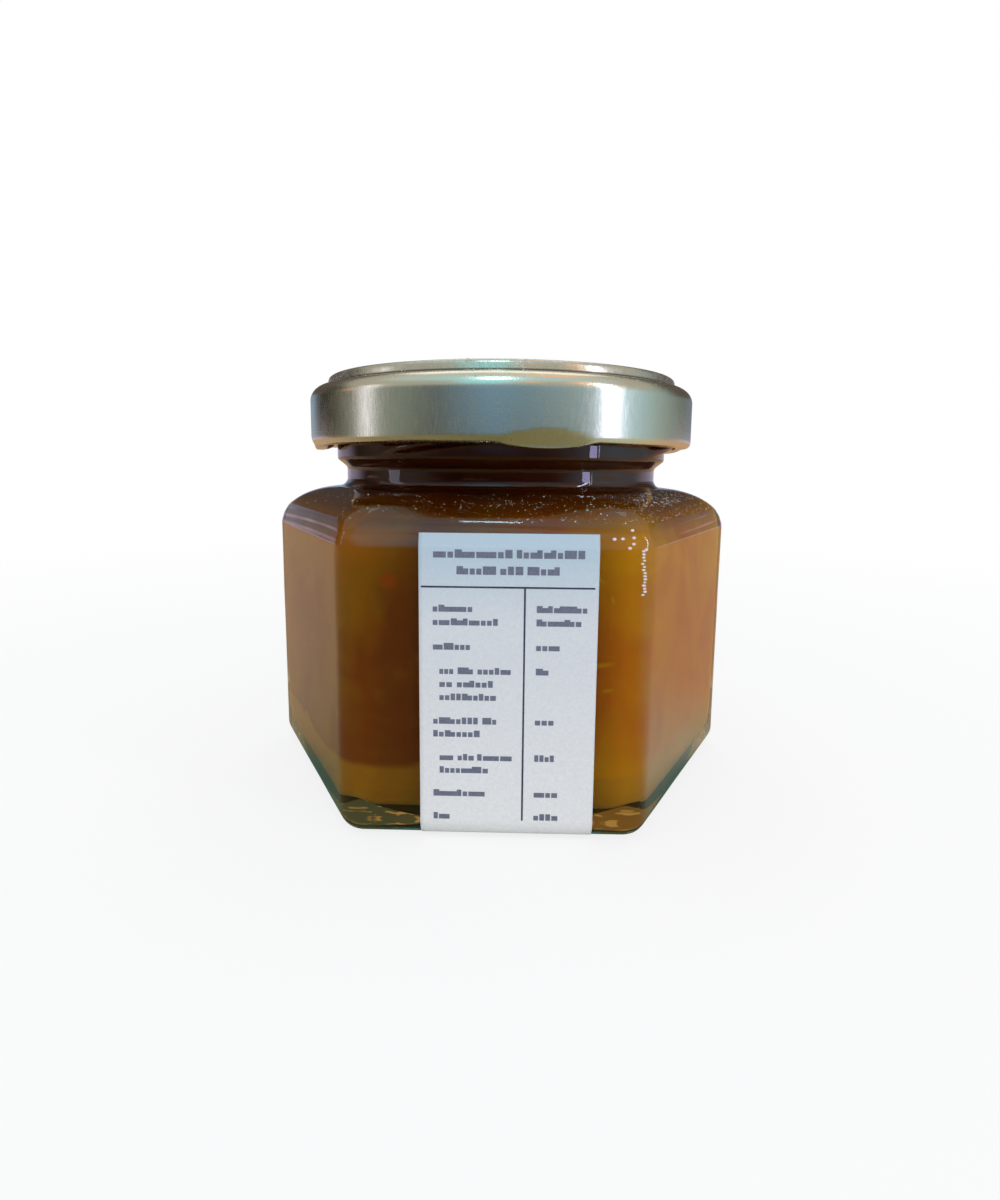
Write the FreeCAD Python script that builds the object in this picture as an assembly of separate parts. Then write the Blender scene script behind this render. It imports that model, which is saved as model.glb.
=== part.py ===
import FreeCAD, Part
import math
import os

# A hexagonal glass jar of pumpkin jam, shut by a four-lug metal cap with a ring of sealing compound
# in it, with a paper label on its front. Millimetres. +Z is up, the table is z = 0, the jar's axis is
# the Z axis and the labelled face looks towards -Y, so two of the six upright edges lie on the X axis.
# An azimuth is counted from the front towards +X.

# ---- Driving dimensions ----

# Glass body
BODY_FLATS = 70.8          # across two opposite faces
EDGE_RADIUS = 4.0          # upright edges, outside
HEEL_RADIUS = 3.2          # where the faces turn under
BODY_HEIGHT = 41.0         # table to the top of the upright faces
SHOULDER_RISE = 6.9        # top of the faces to the root of the neck
WALL = 2.5                 # glass at the faces, the shoulder and the neck
BASE_THICKNESS = 3.2
INNER_EDGE_RADIUS = 6.0    # the glass is thicker in the corners
INNER_HEEL_RADIUS = 4.5
BEARING_WIDTH = 5.2        # flat under the middle of a face, outside the dome
PUSH_UP_DEPTH = 1.2        # shallow dome under the base
SHOULDER_STATIONS = 8      # sections that carry the hexagon into the round neck
SHOULDER_END = 86.0        # degrees of the shoulder's quarter ellipse that are drawn

# Glass neck and finish
FINISH_RADIUS = 28.8       # bead and wall above it
FINISH_HEIGHT = 17.3       # root of the neck to the rim
BEAD_STEP = 1.6            # how far the bead stands out from the neck
NECK_ROOT_RADIUS = 1.5     # hollow where the neck leaves the shoulder
ROOT_LEDGE = 0.02          # flat left outside that hollow
NECK_HEIGHT = 3.3          # root of the neck to the slope under the bead
BEAD_SLOPE = 1.3           # height of that slope
BEAD_BEND = 0.75           # bends at both ends of that slope
RIM_WALL = 3.0             # glass at the rim
RIM_EDGE_RADIUS = 1.2
FLARE_START = 4.1          # root of the neck to where the bore opens out
FLARE_RISE = 4.0

# Glass threads, one for each lug
LUG_COUNT = 4
THREAD_DEPTH = 1.8         # crest above the wall
THREAD_SPAN = 80.0         # degrees from where a thread leaves the wall to where it sinks back
THREAD_HEIGHT = 1.7
THREAD_LEAD = 20.7         # rise over a whole turn
THREAD_MIDDLE = 4.0        # azimuth of the front thread's middle
THREAD_LIFT = 0.6          # its underside there, above the cap's rolled rim

# Metal cap
CAP_SHEET = 0.2
CAP_HEIGHT = 11.35         # rolled rim to the top of the raised ring
CAP_CLEARANCE = 0.3        # between the rolled rim and the thread crests
CAP_SHOULDER_RADIUS = 2.4
LEDGE_DROP = 1.65          # raised ring to the ledge outside it
RING_MARGIN = 1.1          # the raised ring beyond the glass rim, outside
RING_INNER_MARGIN = 0.8    # the same, inside
RING_BEND = 0.7
RING_DRAFT = 0.3           # lean of the ring's outer wall
PANEL_DEPTH = 1.0          # sunk middle panel
CURL_SIZE = 2.1            # rolled rim, outside
CURL_BEND = 0.98
CURL_GAP = 0.66            # between the curl's end and the outside of the skirt
LUG_SPAN = 25.8            # degrees
LUG_MIDDLE = 12.4          # azimuth of the front lug's middle
LUG_DROP = 0.6             # how far a lug hangs below the rim
LUG_WALL_GAP = 0.6         # between a lug's tip and the glass wall
LUG_CLEARANCE = 0.1        # between a lug and the thread above it
FACET_HEIGHT = 2.9         # foot of a lug to the top of the flat pressed into the skirt outside it

# Sealing compound
GASKET_THICKNESS = 0.55    # between the glass rim and the sheet
GASKET_OVERHANG = 0.3      # beyond the glass rim, on both sides
GASKET_GRIP = 0.25         # how deep the rim has bedded in

# Jam and label
HEADSPACE = 4.7            # rim down to the jam
LABEL_WIDTH = 23.7
LABEL_SHIFT = 1.95         # its middle, from the middle of the face
LABEL_FOOT = 0.6           # the paper runs on round the heel
LABEL_OVER = 1.9           # how far it runs up the shoulder
LABEL_THICKNESS = 0.12

# ---- Sizes that follow ----

APOTHEM = BODY_FLATS / 2
PUSH_UP_RADIUS = APOTHEM - HEEL_RADIUS - BEARING_WIDTH
NECK_ROOT = BODY_HEIGHT + SHOULDER_RISE
NECK_RADIUS = FINISH_RADIUS - BEAD_STEP
INNER_NECK_RADIUS = NECK_RADIUS - WALL
BEAD_UNDERSIDE = NECK_ROOT + NECK_HEIGHT
RIM_TOP = NECK_ROOT + FINISH_HEIGHT
RIM_BORE_RADIUS = FINISH_RADIUS - RIM_WALL
THREAD_CREST_RADIUS = FINISH_RADIUS + THREAD_DEPTH
THREAD_SLOPE = THREAD_LEAD / (2 * math.pi * FINISH_RADIUS)
CAP_TOP = RIM_TOP + GASKET_THICKNESS + CAP_SHEET
CAP_BOTTOM = CAP_TOP - CAP_HEIGHT
CAP_LEDGE = CAP_TOP - LEDGE_DROP
CAP_RADIUS = THREAD_CREST_RADIUS + CAP_CLEARANCE + CURL_SIZE
CURL_INSIDE = CAP_RADIUS - CURL_SIZE
RING_RADIUS = FINISH_RADIUS + RING_MARGIN
PANEL_RADIUS = RIM_BORE_RADIUS - RING_INNER_MARGIN
THREAD_UNDERSIDE = CAP_BOTTOM + THREAD_LIFT
LUG_FOOT = CAP_BOTTOM - LUG_DROP
LUG_TOP = LUG_FOOT + FACET_HEIGHT
LUG_INNER_RADIUS = FINISH_RADIUS + LUG_WALL_GAP
JAM_LEVEL = RIM_TOP - HEADSPACE
LABEL_TOP = BODY_HEIGHT + LABEL_OVER
UP = FreeCAD.Vector(0, 0, 1)
ORIGIN = FreeCAD.Vector(0, 0, 0)


# ---- Outlines ----

def at_azimuth(radius, azimuth, height):
    """A point at a radius and height, with its azimuth in degrees from the front towards +X."""
    angle = math.radians(azimuth)
    return FreeCAD.Vector(radius * math.sin(angle), -radius * math.cos(angle), height)


def rounded_hexagon(apothem, corner_radius, height):
    """A level hexagon with flats to the front and back and round corners: six lines and six arcs."""
    edges = []
    half_flat = (apothem - corner_radius) * math.tan(math.radians(30))
    corner_reach = (apothem - corner_radius) / math.cos(math.radians(30))
    for side in range(6):
        middle = 60.0 * side
        outwards = at_azimuth(1, middle, 0)
        along = at_azimuth(1, middle + 90, 0)
        foot = outwards * apothem + UP * height
        start = foot - along * half_flat
        end = foot + along * half_flat
        turn = at_azimuth(corner_reach, middle + 30, height)
        next_start = turn + at_azimuth(corner_radius, middle + 60, 0)
        edges.append(Part.LineSegment(start, end).toShape())
        bulge = turn + at_azimuth(corner_radius, middle + 30, 0)
        edges.append(Part.Arc(end, bulge, next_start).toShape())
    return Part.Wire(edges)


def rounded_line(points, radii):
    """Edges along a line of (radius, height) corners in the XZ plane, each corner with its own bend."""
    corners = [FreeCAD.Vector(r, 0, z) for r, z in points]
    edges = []
    pen = corners[0]
    for before, corner, after, radius in zip(corners, corners[1:], corners[2:], radii[1:]):
        back = (before - corner).normalize()
        ahead = (after - corner).normalize()
        half_angle = back.getAngle(ahead) / 2
        if radius > 0:
            reach = radius / math.tan(half_angle)
            middle = (back + ahead).normalize()
            start = corner + back * reach
            end = corner + ahead * reach
            bulge = corner + middle * (radius / math.sin(half_angle) - radius)
            edges.append(Part.LineSegment(pen, start).toShape())
            edges.append(Part.Arc(start, bulge, end).toShape())
            pen = end
        else:
            edges.append(Part.LineSegment(pen, corner).toShape())
            pen = corner
    edges.append(Part.LineSegment(pen, corners[-1]).toShape())
    return edges


def revolved(edges, angle=360.0):
    """The solid swept by a closed outline in the XZ plane about the jar's axis."""
    face = Part.Face(Part.Wire(edges))
    return face.revolve(ORIGIN, UP, angle)


def turned_solid(points, radii):
    """A solid of revolution from its outside line, closed along the axis."""
    edges = rounded_line(points, radii)
    low = FreeCAD.Vector(points[0][0], 0, points[0][1])
    high = FreeCAD.Vector(points[-1][0], 0, points[-1][1])
    if low.distanceToPoint(high) > 0:
        edges.append(Part.LineSegment(high, low).toShape())
    return revolved(edges)


def tilted_slab(azimuth, underside, thickness, slope, reach):
    """A slab square to the radius at an azimuth, that rises by slope for each millimetre towards +X."""
    slab = Part.makeBox(2 * reach, 2 * reach, thickness, FreeCAD.Vector(-reach, -reach, 0))
    slab.rotate(ORIGIN, FreeCAD.Vector(0, -1, 0), math.degrees(math.atan(slope)))
    slab.translate(UP * underside)
    slab.rotate(ORIGIN, UP, azimuth)
    return slab


# ---- Glass ----

def hexagonal_vessel(apothem, corner_radius, floor, heel_radius, neck_radius, rise):
    """An upright hexagonal block on a round heel, whose shoulder is a quarter ellipse in every
    direction: each section's flats and corners shrink alike until both meet the neck's circle."""
    block = Part.Face(rounded_hexagon(apothem, corner_radius, floor)).extrude(UP * (BODY_HEIGHT - floor))
    heel = [edge for edge in block.Edges if edge.BoundBox.ZMax < floor + heel_radius / 2]
    block = block.makeFillet(heel_radius, heel)
    sections = []
    for station in range(SHOULDER_STATIONS + 1):
        angle = math.radians(SHOULDER_END * station / SHOULDER_STATIONS)
        share = math.cos(angle)
        sections.append(rounded_hexagon(neck_radius + (apothem - neck_radius) * share,
                                        neck_radius + (corner_radius - neck_radius) * share,
                                        BODY_HEIGHT + rise * math.sin(angle)))
    return block.fuse(Part.makeLoft(sections, True, False))


def outer_finish():
    """Neck, bead and wall up to the rim, turned as one with the hollow at the neck's root."""
    root = NECK_RADIUS + NECK_ROOT_RADIUS + ROOT_LEDGE
    points = [(0, BODY_HEIGHT), (root, BODY_HEIGHT), (root, NECK_ROOT), (NECK_RADIUS, NECK_ROOT),
              (NECK_RADIUS, BEAD_UNDERSIDE), (FINISH_RADIUS, BEAD_UNDERSIDE + BEAD_SLOPE),
              (FINISH_RADIUS, RIM_TOP), (0, RIM_TOP)]
    radii = [0, 0, 0, NECK_ROOT_RADIUS, BEAD_BEND, BEAD_BEND, RIM_EDGE_RADIUS, 0]
    return turned_solid(points, radii)


def bore():
    """The way in through the neck, which opens out towards the mouth."""
    flare = NECK_ROOT + FLARE_START
    points = [(0, BODY_HEIGHT), (INNER_NECK_RADIUS, BODY_HEIGHT), (INNER_NECK_RADIUS, flare),
              (RIM_BORE_RADIUS, flare + FLARE_RISE), (RIM_BORE_RADIUS, RIM_TOP), (0, RIM_TOP)]
    return turned_solid(points, [0] * len(points))


def thread(azimuth, underside):
    """A land that swells out of the finish and sinks back: a tilted slab of an off-centre cylinder."""
    half_span = math.radians(THREAD_SPAN / 2)
    crest, wall = THREAD_CREST_RADIUS, FINISH_RADIUS
    # The cylinder passes through the crest at the middle and through the wall at both ends.
    offset = (crest ** 2 - wall ** 2) / (2 * (crest - wall * math.cos(half_span)))
    swell = Part.makeCylinder(crest - offset, RIM_TOP - BEAD_UNDERSIDE, at_azimuth(offset, azimuth, BEAD_UNDERSIDE))
    slab = tilted_slab(azimuth, underside, THREAD_HEIGHT, THREAD_SLOPE, 2 * FINISH_RADIUS)
    return swell.common(slab)


def cavity():
    """The room inside the glass, up to the mouth."""
    room = hexagonal_vessel(APOTHEM - WALL, INNER_EDGE_RADIUS, BASE_THICKNESS, INNER_HEEL_RADIUS,
                            INNER_NECK_RADIUS, SHOULDER_RISE - WALL)
    return room.fuse(bore()).removeSplitter()


def outer_body():
    """The outside of the hexagonal body, filled."""
    return hexagonal_vessel(APOTHEM, EDGE_RADIUS, 0, HEEL_RADIUS, NECK_RADIUS, SHOULDER_RISE)


def push_up():
    """The shallow dome under the base, a cap of a large ball."""
    ball_radius = (PUSH_UP_RADIUS ** 2 + PUSH_UP_DEPTH ** 2) / (2 * PUSH_UP_DEPTH)
    return Part.makeSphere(ball_radius, FreeCAD.Vector(0, 0, PUSH_UP_DEPTH - ball_radius))


def jar_glass(body, room):
    solid = body.fuse(outer_finish())
    step = 360.0 / LUG_COUNT
    for number in range(LUG_COUNT):
        solid = solid.fuse(thread(THREAD_MIDDLE + number * step, THREAD_UNDERSIDE))
    return solid.cut(room).cut(push_up()).removeSplitter()


# ---- Cap ----

def moved_line(points, distance):
    """The same line of corners, moved sideways by a distance, to its left as drawn."""
    corners = [FreeCAD.Vector(r, 0, z) for r, z in points]
    lefts = []
    for start, end in zip(corners, corners[1:]):
        along = (end - start).normalize()
        lefts.append(FreeCAD.Vector(-along.z, 0, along.x) * distance)
    moved = [corners[0] + lefts[0]]
    for corner, first, second in zip(corners[1:-1], lefts, lefts[1:]):
        middle = first + second
        moved.append(corner + middle * (2 * first.dot(first) / middle.dot(middle)))
    moved.append(corners[-1] + lefts[-1])
    return [(corner.x, corner.z) for corner in moved]


def bend_sides(points):
    """+1 where the line turns left at a corner and -1 where it turns right."""
    sides = [0]
    for (r0, z0), (r1, z1), (r2, z2) in zip(points, points[1:], points[2:]):
        sides.append(math.copysign(1, (r1 - r0) * (z2 - z1) - (z1 - z0) * (r2 - r1)))
    return sides + [0]


def cap_sheet():
    """One sheet from the middle of the panel, over the ring and ledge, down the skirt and round the
    curl. Both its sides are the same line, a sheet's thickness apart, with bends to match."""
    panel = CAP_TOP - PANEL_DEPTH
    curl_top = CAP_BOTTOM + CURL_SIZE
    outside = [(0, panel), (PANEL_RADIUS - PANEL_DEPTH, panel), (PANEL_RADIUS, CAP_TOP), (RING_RADIUS, CAP_TOP),
               (RING_RADIUS + RING_DRAFT, CAP_LEDGE), (CAP_RADIUS, CAP_LEDGE), (CAP_RADIUS, CAP_BOTTOM),
               (CURL_INSIDE, CAP_BOTTOM), (CURL_INSIDE, curl_top), (CAP_RADIUS - CURL_GAP, curl_top)]
    bends = [0, RING_BEND, RING_BEND, RING_BEND, RING_BEND, CAP_SHOULDER_RADIUS, CURL_BEND, CURL_BEND,
             CURL_BEND / 2, 0]
    inside = moved_line(outside, -CAP_SHEET)
    inner_bends = [bend + side * CAP_SHEET if bend else 0 for bend, side in zip(bends, bend_sides(outside))]
    edges = rounded_line(outside, bends)
    back = rounded_line(inside, inner_bends)
    edges.append(Part.LineSegment(edges[-1].Vertexes[-1].Point, back[-1].Vertexes[-1].Point).toShape())
    edges.extend(back[::-1])
    edges.append(Part.LineSegment(back[0].Vertexes[0].Point, edges[0].Vertexes[0].Point).toShape())
    return revolved(Part.__sortEdges__(edges))


def ring_piece(inner, outer, low, high, azimuth):
    """A block of ring as wide as a lug, centred on an azimuth."""
    section = rounded_line([(inner, low), (outer, low), (outer, high), (inner, high), (inner, low)], [0] * 5)
    ring = revolved(section, LUG_SPAN)
    ring.rotate(ORIGIN, UP, azimuth - LUG_SPAN / 2 - 90)
    return ring


def lug(azimuth, thread_middle):
    """A piece of the rim pressed inwards: the pressed rim, and a hook whose top has its thread's slope."""
    rim = ring_piece(CURL_INSIDE, CAP_RADIUS - CAP_SHEET / 2, LUG_FOOT, LUG_TOP, azimuth)
    hook = ring_piece(LUG_INNER_RADIUS, CURL_INSIDE + CAP_SHEET, LUG_FOOT, LUG_TOP, azimuth)
    depth = 2 * FACET_HEIGHT
    under_thread = tilted_slab(thread_middle, THREAD_UNDERSIDE - LUG_CLEARANCE - depth, depth,
                               THREAD_SLOPE, 2 * CAP_RADIUS)
    return rim.fuse(hook.common(under_thread))


def lug_facet(azimuth):
    """What is pressed off the skirt outside a lug: all beyond a plane that leans in towards the rim."""
    half_width = CAP_RADIUS * math.sin(math.radians(LUG_SPAN / 2))
    depth = CAP_RADIUS - math.sqrt(CAP_RADIUS ** 2 - half_width ** 2)
    lean = math.degrees(math.atan2(depth, FACET_HEIGHT))
    block = Part.makeBox(4 * half_width, CAP_RADIUS, 4 * FACET_HEIGHT,
                         FreeCAD.Vector(-2 * half_width, -CAP_RADIUS, -2 * FACET_HEIGHT))
    block.rotate(ORIGIN, FreeCAD.Vector(1, 0, 0), lean)
    block.translate(FreeCAD.Vector(0, -CAP_RADIUS, LUG_TOP))
    block.rotate(ORIGIN, UP, azimuth)
    return block


def lid():
    solid = cap_sheet()
    step = 360.0 / LUG_COUNT
    for number in range(LUG_COUNT):
        turn = number * step
        solid = solid.fuse(lug(LUG_MIDDLE + turn, THREAD_MIDDLE + turn))
        solid = solid.cut(lug_facet(LUG_MIDDLE + turn))
    return solid.removeSplitter()


def gasket(glass):
    """Sealing compound flowed into the raised ring, with the groove that the glass rim has pressed in."""
    inner, outer = RIM_BORE_RADIUS - GASKET_OVERHANG, FINISH_RADIUS + GASKET_OVERHANG
    low, high = RIM_TOP - GASKET_GRIP, CAP_TOP - CAP_SHEET
    section = rounded_line([(inner, low), (outer, low), (outer, high), (inner, high), (inner, low)], [0] * 5)
    return revolved(section).cut(glass)


# ---- Contents and label ----

def jam(room):
    """All of the room up to the level, face to face with the glass."""
    above = Part.makeBox(BODY_FLATS, BODY_FLATS, BODY_FLATS, FreeCAD.Vector(-APOTHEM, -APOTHEM, JAM_LEVEL))
    return room.cut(above).removeSplitter()


def label(body):
    """Paper on the front face: a strip that turns in with the heel below and the shoulder above."""
    grown = hexagonal_vessel(APOTHEM + LABEL_THICKNESS, EDGE_RADIUS + LABEL_THICKNESS, -LABEL_THICKNESS,
                             HEEL_RADIUS + LABEL_THICKNESS, NECK_RADIUS + LABEL_THICKNESS,
                             SHOULDER_RISE + LABEL_THICKNESS)
    window = Part.makeBox(LABEL_WIDTH, APOTHEM, LABEL_TOP - LABEL_FOOT,
                          FreeCAD.Vector(LABEL_SHIFT - LABEL_WIDTH / 2, -2 * APOTHEM + HEEL_RADIUS, LABEL_FOOT))
    return grown.common(window).cut(body)


def main():
    os.makedirs("parts", exist_ok=True)
    body = outer_body()
    room = cavity()
    glass = jar_glass(body, room)
    pieces = {"jar_glass": glass, "jam": jam(room), "lid": lid(), "gasket": gasket(glass), "label": label(body)}
    for name, shape in pieces.items():
        if len(shape.Solids) != 1 or not shape.isValid():
            raise ValueError(f"{name}: {len(shape.Solids)} solids, valid {shape.isValid()}")
        shape.Solids[0].exportStep(f"parts/{name}.step")
        box = shape.BoundBox
        print(f"{name}: {shape.Volume / 1000:.2f} ml, x {box.XMin:.2f}..{box.XMax:.2f}, "
              f"y {box.YMin:.2f}..{box.YMax:.2f}, z {box.ZMin:.2f}..{box.ZMax:.2f}")


main()
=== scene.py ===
"""A shut hexagonal glass jar of pumpkin jam with a twist-off cap and a paper label.

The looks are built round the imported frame: every piece stands for one CAD node or lies on one, in the
frame's own metres, +Z up, with the labelled face towards -Y. An azimuth is counted from the front
face towards +X. The file is laid out as an add-on with one operator for each piece.
"""
import math

import bpy
import numpy as np
from bpy.props import FloatProperty, FloatVectorProperty, IntProperty, PointerProperty
from mathutils import Matrix, Vector


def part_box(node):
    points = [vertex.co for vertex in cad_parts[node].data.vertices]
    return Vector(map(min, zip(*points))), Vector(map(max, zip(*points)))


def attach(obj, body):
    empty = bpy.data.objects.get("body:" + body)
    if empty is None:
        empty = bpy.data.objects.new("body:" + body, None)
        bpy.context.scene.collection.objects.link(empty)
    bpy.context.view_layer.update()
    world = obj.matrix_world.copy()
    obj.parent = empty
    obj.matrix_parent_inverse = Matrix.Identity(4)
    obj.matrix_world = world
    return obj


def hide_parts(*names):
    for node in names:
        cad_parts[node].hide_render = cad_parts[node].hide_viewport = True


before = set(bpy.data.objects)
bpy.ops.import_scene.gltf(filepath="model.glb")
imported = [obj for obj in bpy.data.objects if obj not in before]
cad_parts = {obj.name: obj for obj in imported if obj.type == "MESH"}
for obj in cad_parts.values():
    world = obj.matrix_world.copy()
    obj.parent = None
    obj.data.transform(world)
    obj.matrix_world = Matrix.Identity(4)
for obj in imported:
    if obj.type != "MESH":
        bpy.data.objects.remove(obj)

bl_info = {
    "name": "Hexagonal jam jar",
    "version": (1, 0, 0),
    "blender": (4, 5, 0),
    "location": "3D View > Sidebar > Jam jar",
    "description": "Builds the glass, jam, cap, label and dust of a jar of pumpkin jam round its frame",
    "category": "Object",
}

MM = 0.001
ROW_STEP = 0.2 * MM      # between rows of the glass where it bends
SIXTH = math.radians(60)
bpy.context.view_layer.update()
GLASS_LOW, GLASS_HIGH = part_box("jar_glass")
JAM_LOW, JAM_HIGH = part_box("jam")
LID_LOW, LID_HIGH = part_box("lid")
LABEL_LOW, LABEL_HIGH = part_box("label")


# ---- Small helpers ----

def srgb(code):
    """A hex colour such as #c8a040 as linear red, green, blue and full alpha."""
    parts = [int(code[at:at + 2], 16) / 255 for at in (1, 3, 5)]
    return tuple(c / 12.92 if c <= 0.04045 else ((c + 0.055) / 1.055) ** 2.4 for c in parts) + (1.0,)


def add_node(tree, kind, inputs=None, stops=None, **settings):
    """Adds a node. inputs gives each socket, by name or number, a value, another node's output, or a
    node, which stands for its first output in use. stops gives a ramp its (place, colour) pairs."""
    made = tree.nodes.new(kind)
    for name, value in settings.items():
        setattr(made, name, value)
    for socket, value in (inputs or {}).items():
        if isinstance(value, bpy.types.Node):
            value = next(output for output in value.outputs if output.enabled)
        if isinstance(value, bpy.types.NodeSocket):
            tree.links.new(value, made.inputs[socket])
        else:
            made.inputs[socket].default_value = value
    if stops:
        elements = made.color_ramp.elements
        while len(elements) < len(stops):
            elements.new(1.0)
        for element, (place, tone) in zip(elements, stops):
            element.position = place
            element.color = tone
    return made


def new_material(name):
    """An empty node material, with its tree and the Object coordinates in it."""
    material = bpy.data.materials.new(name)
    material.use_nodes = True
    tree = material.node_tree
    tree.nodes.clear()
    return material, tree, add_node(tree, "ShaderNodeTexCoord").outputs["Object"]


def grid_faces(rows, columns, closed=True):
    """Quads over a grid of rows and columns of points, as one array; closed joins the last column to
    the first. Faces point to the right of the rows' direction, seen along the columns."""
    index = np.arange(rows * columns).reshape(rows, columns)
    beside = np.roll(index, -1, axis=1)
    if not closed:
        index, beside = index[:, :-1], beside[:, :-1]
    return np.stack([index[:-1], beside[:-1], beside[1:], index[1:]], axis=-1).reshape(-1, 4)


def new_piece(name, points, faces, material, smooth=True):
    """A mesh object at the origin from arrays of points and faces."""
    mesh = bpy.data.meshes.new(name)
    mesh.from_pydata(points.reshape(-1, 3).tolist(), [], faces)
    mesh.polygons.foreach_set("use_smooth", np.full(len(mesh.polygons), smooth))
    mesh.materials.append(material)
    mesh.update()
    piece = bpy.data.objects.new(name, mesh)
    bpy.context.scene.collection.objects.link(piece)
    return piece


def ring_piece(name, points, material, open_start=False):
    """A mesh over rows of rings. The last row closes onto its middle, and so does the first unless
    the piece is open there."""
    rows, columns = points.shape[:2]
    poles = [points[-1].mean(0)] if open_start else [points[-1].mean(0), points[0].mean(0)]
    low = np.arange(columns)
    high = low + (rows - 1) * columns
    top = np.full(columns, rows * columns)
    faces = grid_faces(rows, columns).tolist() + np.stack([high, np.roll(high, -1), top], axis=-1).tolist()
    if not open_start:
        faces += np.stack([top + 1, np.roll(low, -1), low], axis=-1).tolist()
    return new_piece(name, np.concatenate([points.reshape(-1, 3), poles]), faces, material)


def mixed(start, end, steps):
    """Evenly spaced values from start up to, but not with, end."""
    return np.linspace(start, end, steps, endpoint=False)


def wrapped(turn):
    """A turn brought between minus and plus half of a whole one."""
    return (turn + math.pi) % (2 * math.pi) - math.pi


def polar(azimuth, radius, height):
    """Points from an azimuth, a radius and a height, as arrays that fit one another: x is the radius
    times the azimuth's sine, and y is minus the radius times its cosine."""
    across = radius * np.sin(azimuth)
    return np.stack([across, -radius * np.cos(azimuth), height + 0 * across], axis=-1)


def bent_line(corners, bends, step):
    """Points along a line of (radius, height) corners. Each corner is rounded by an arc of its own
    radius, tangent to both its runs, and the straight stretches are divided at about a step."""
    corners = np.array(corners, float)
    pieces = []
    pen = corners[0]
    for before, corner, after, bend in zip(corners, corners[1:], corners[2:], bends[1:]):
        back = (before - corner) / np.linalg.norm(before - corner)
        ahead = (after - corner) / np.linalg.norm(after - corner)
        half = math.acos(np.clip(back @ ahead, -1, 1)) / 2
        reach = bend / math.tan(half)
        start = corner + back * reach
        centre = corner + (back + ahead) / np.linalg.norm(back + ahead) * bend / math.sin(half)
        count = max(1, int(np.linalg.norm(start - pen) / step))
        pieces.append(pen + (start - pen) * mixed(0, 1, count)[:, None])
        if bend > 0:
            turn = math.pi - 2 * half
            share = mixed(0, 1, max(4, int(turn * bend / step * 2)))[:, None]
            spread = np.sin((1 - share) * turn) * (start - centre)
            spread = spread + np.sin(share * turn) * (corner + ahead * reach - centre)
            pieces.append(centre + spread / math.sin(turn))
        pen = corner + ahead * reach
    count = max(1, int(np.linalg.norm(corners[-1] - pen) / step))
    pieces.append(pen + (corners[-1] - pen) * np.linspace(0, 1, count + 1)[:, None])
    return np.concatenate(pieces)


# ---- The vessel's form ----

def hexagon_azimuths(per_half):
    """Azimuths round the jar, closer together towards the six edges: in each half face the gap to
    the edge shrinks as the power 1.5 of an even count."""
    half = SIXTH / 2 * (1 - (1 - np.linspace(0, 1, per_half + 1)) ** 1.5)
    face = np.concatenate([-half[:0:-1], half[:-1]])
    return (np.arange(6)[:, None] * SIXTH + face).ravel()


def hexagon_radius(azimuth, apothem, corner):
    """Radius of a level rounded hexagon at an azimuth: the apothem over the cosine along a flat, and
    the far meeting of the ray with the corner's circle in a corner. A corner as large as the
    apothem gives a circle."""
    off_flat = np.abs((azimuth + SIXTH / 2) % SIXTH - SIXTH / 2)
    off_corner = SIXTH / 2 - off_flat
    reach = (apothem - corner) / math.cos(SIXTH / 2)
    flat_end = np.arctan((apothem - corner) * math.tan(SIXTH / 2) / apothem)
    inside = np.maximum(corner ** 2 - (reach * np.sin(off_corner)) ** 2, 0)
    return np.where(off_flat <= flat_end, apothem / np.cos(off_flat),
                    reach * np.cos(off_corner) + np.sqrt(inside))


def rings(azimuth, rows, swell=None):
    """Points of a vessel: each row holds an apothem, a corner radius and a height, and each column
    an azimuth. swell, if given, is added to the radius."""
    apothem, corner, height = (rows[:, k, None] for k in range(3))
    radius = hexagon_radius(azimuth[None, :], apothem, corner)
    if swell is not None:
        radius = radius + swell
    return polar(azimuth, radius, height)


def turned(line):
    """Rows of circles from a line of (radius, height) points."""
    return np.stack([line[:, 0], line[:, 0], line[:, 1]], axis=-1)


def heel_rows(apothem, corner, floor, bend, steps):
    """Rows up a round heel: the outline moves out by a quarter circle's cosine as it rises."""
    turn = mixed(0, math.pi / 2, steps)
    inset = bend * (1 - np.sin(turn))
    return np.stack([apothem - inset, corner - inset, floor + bend * (1 - np.cos(turn))], axis=-1)


def shoulder_rows(apothem, corner, base, neck, rise, steps):
    """Rows over the inner shoulder, a quarter ellipse in every direction: flats and corners both run to
    the neck's radius by the same cosine, while the height follows the sine. They end just short of
    the neck, at 86 degrees, and the neck's own line takes over."""
    turn = np.linspace(0, math.radians(86), steps)
    share = np.cos(turn)
    return np.stack([neck + (apothem - neck) * share, neck + (corner - neck) * share,
                     base + rise * np.sin(turn)], axis=-1)


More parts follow.
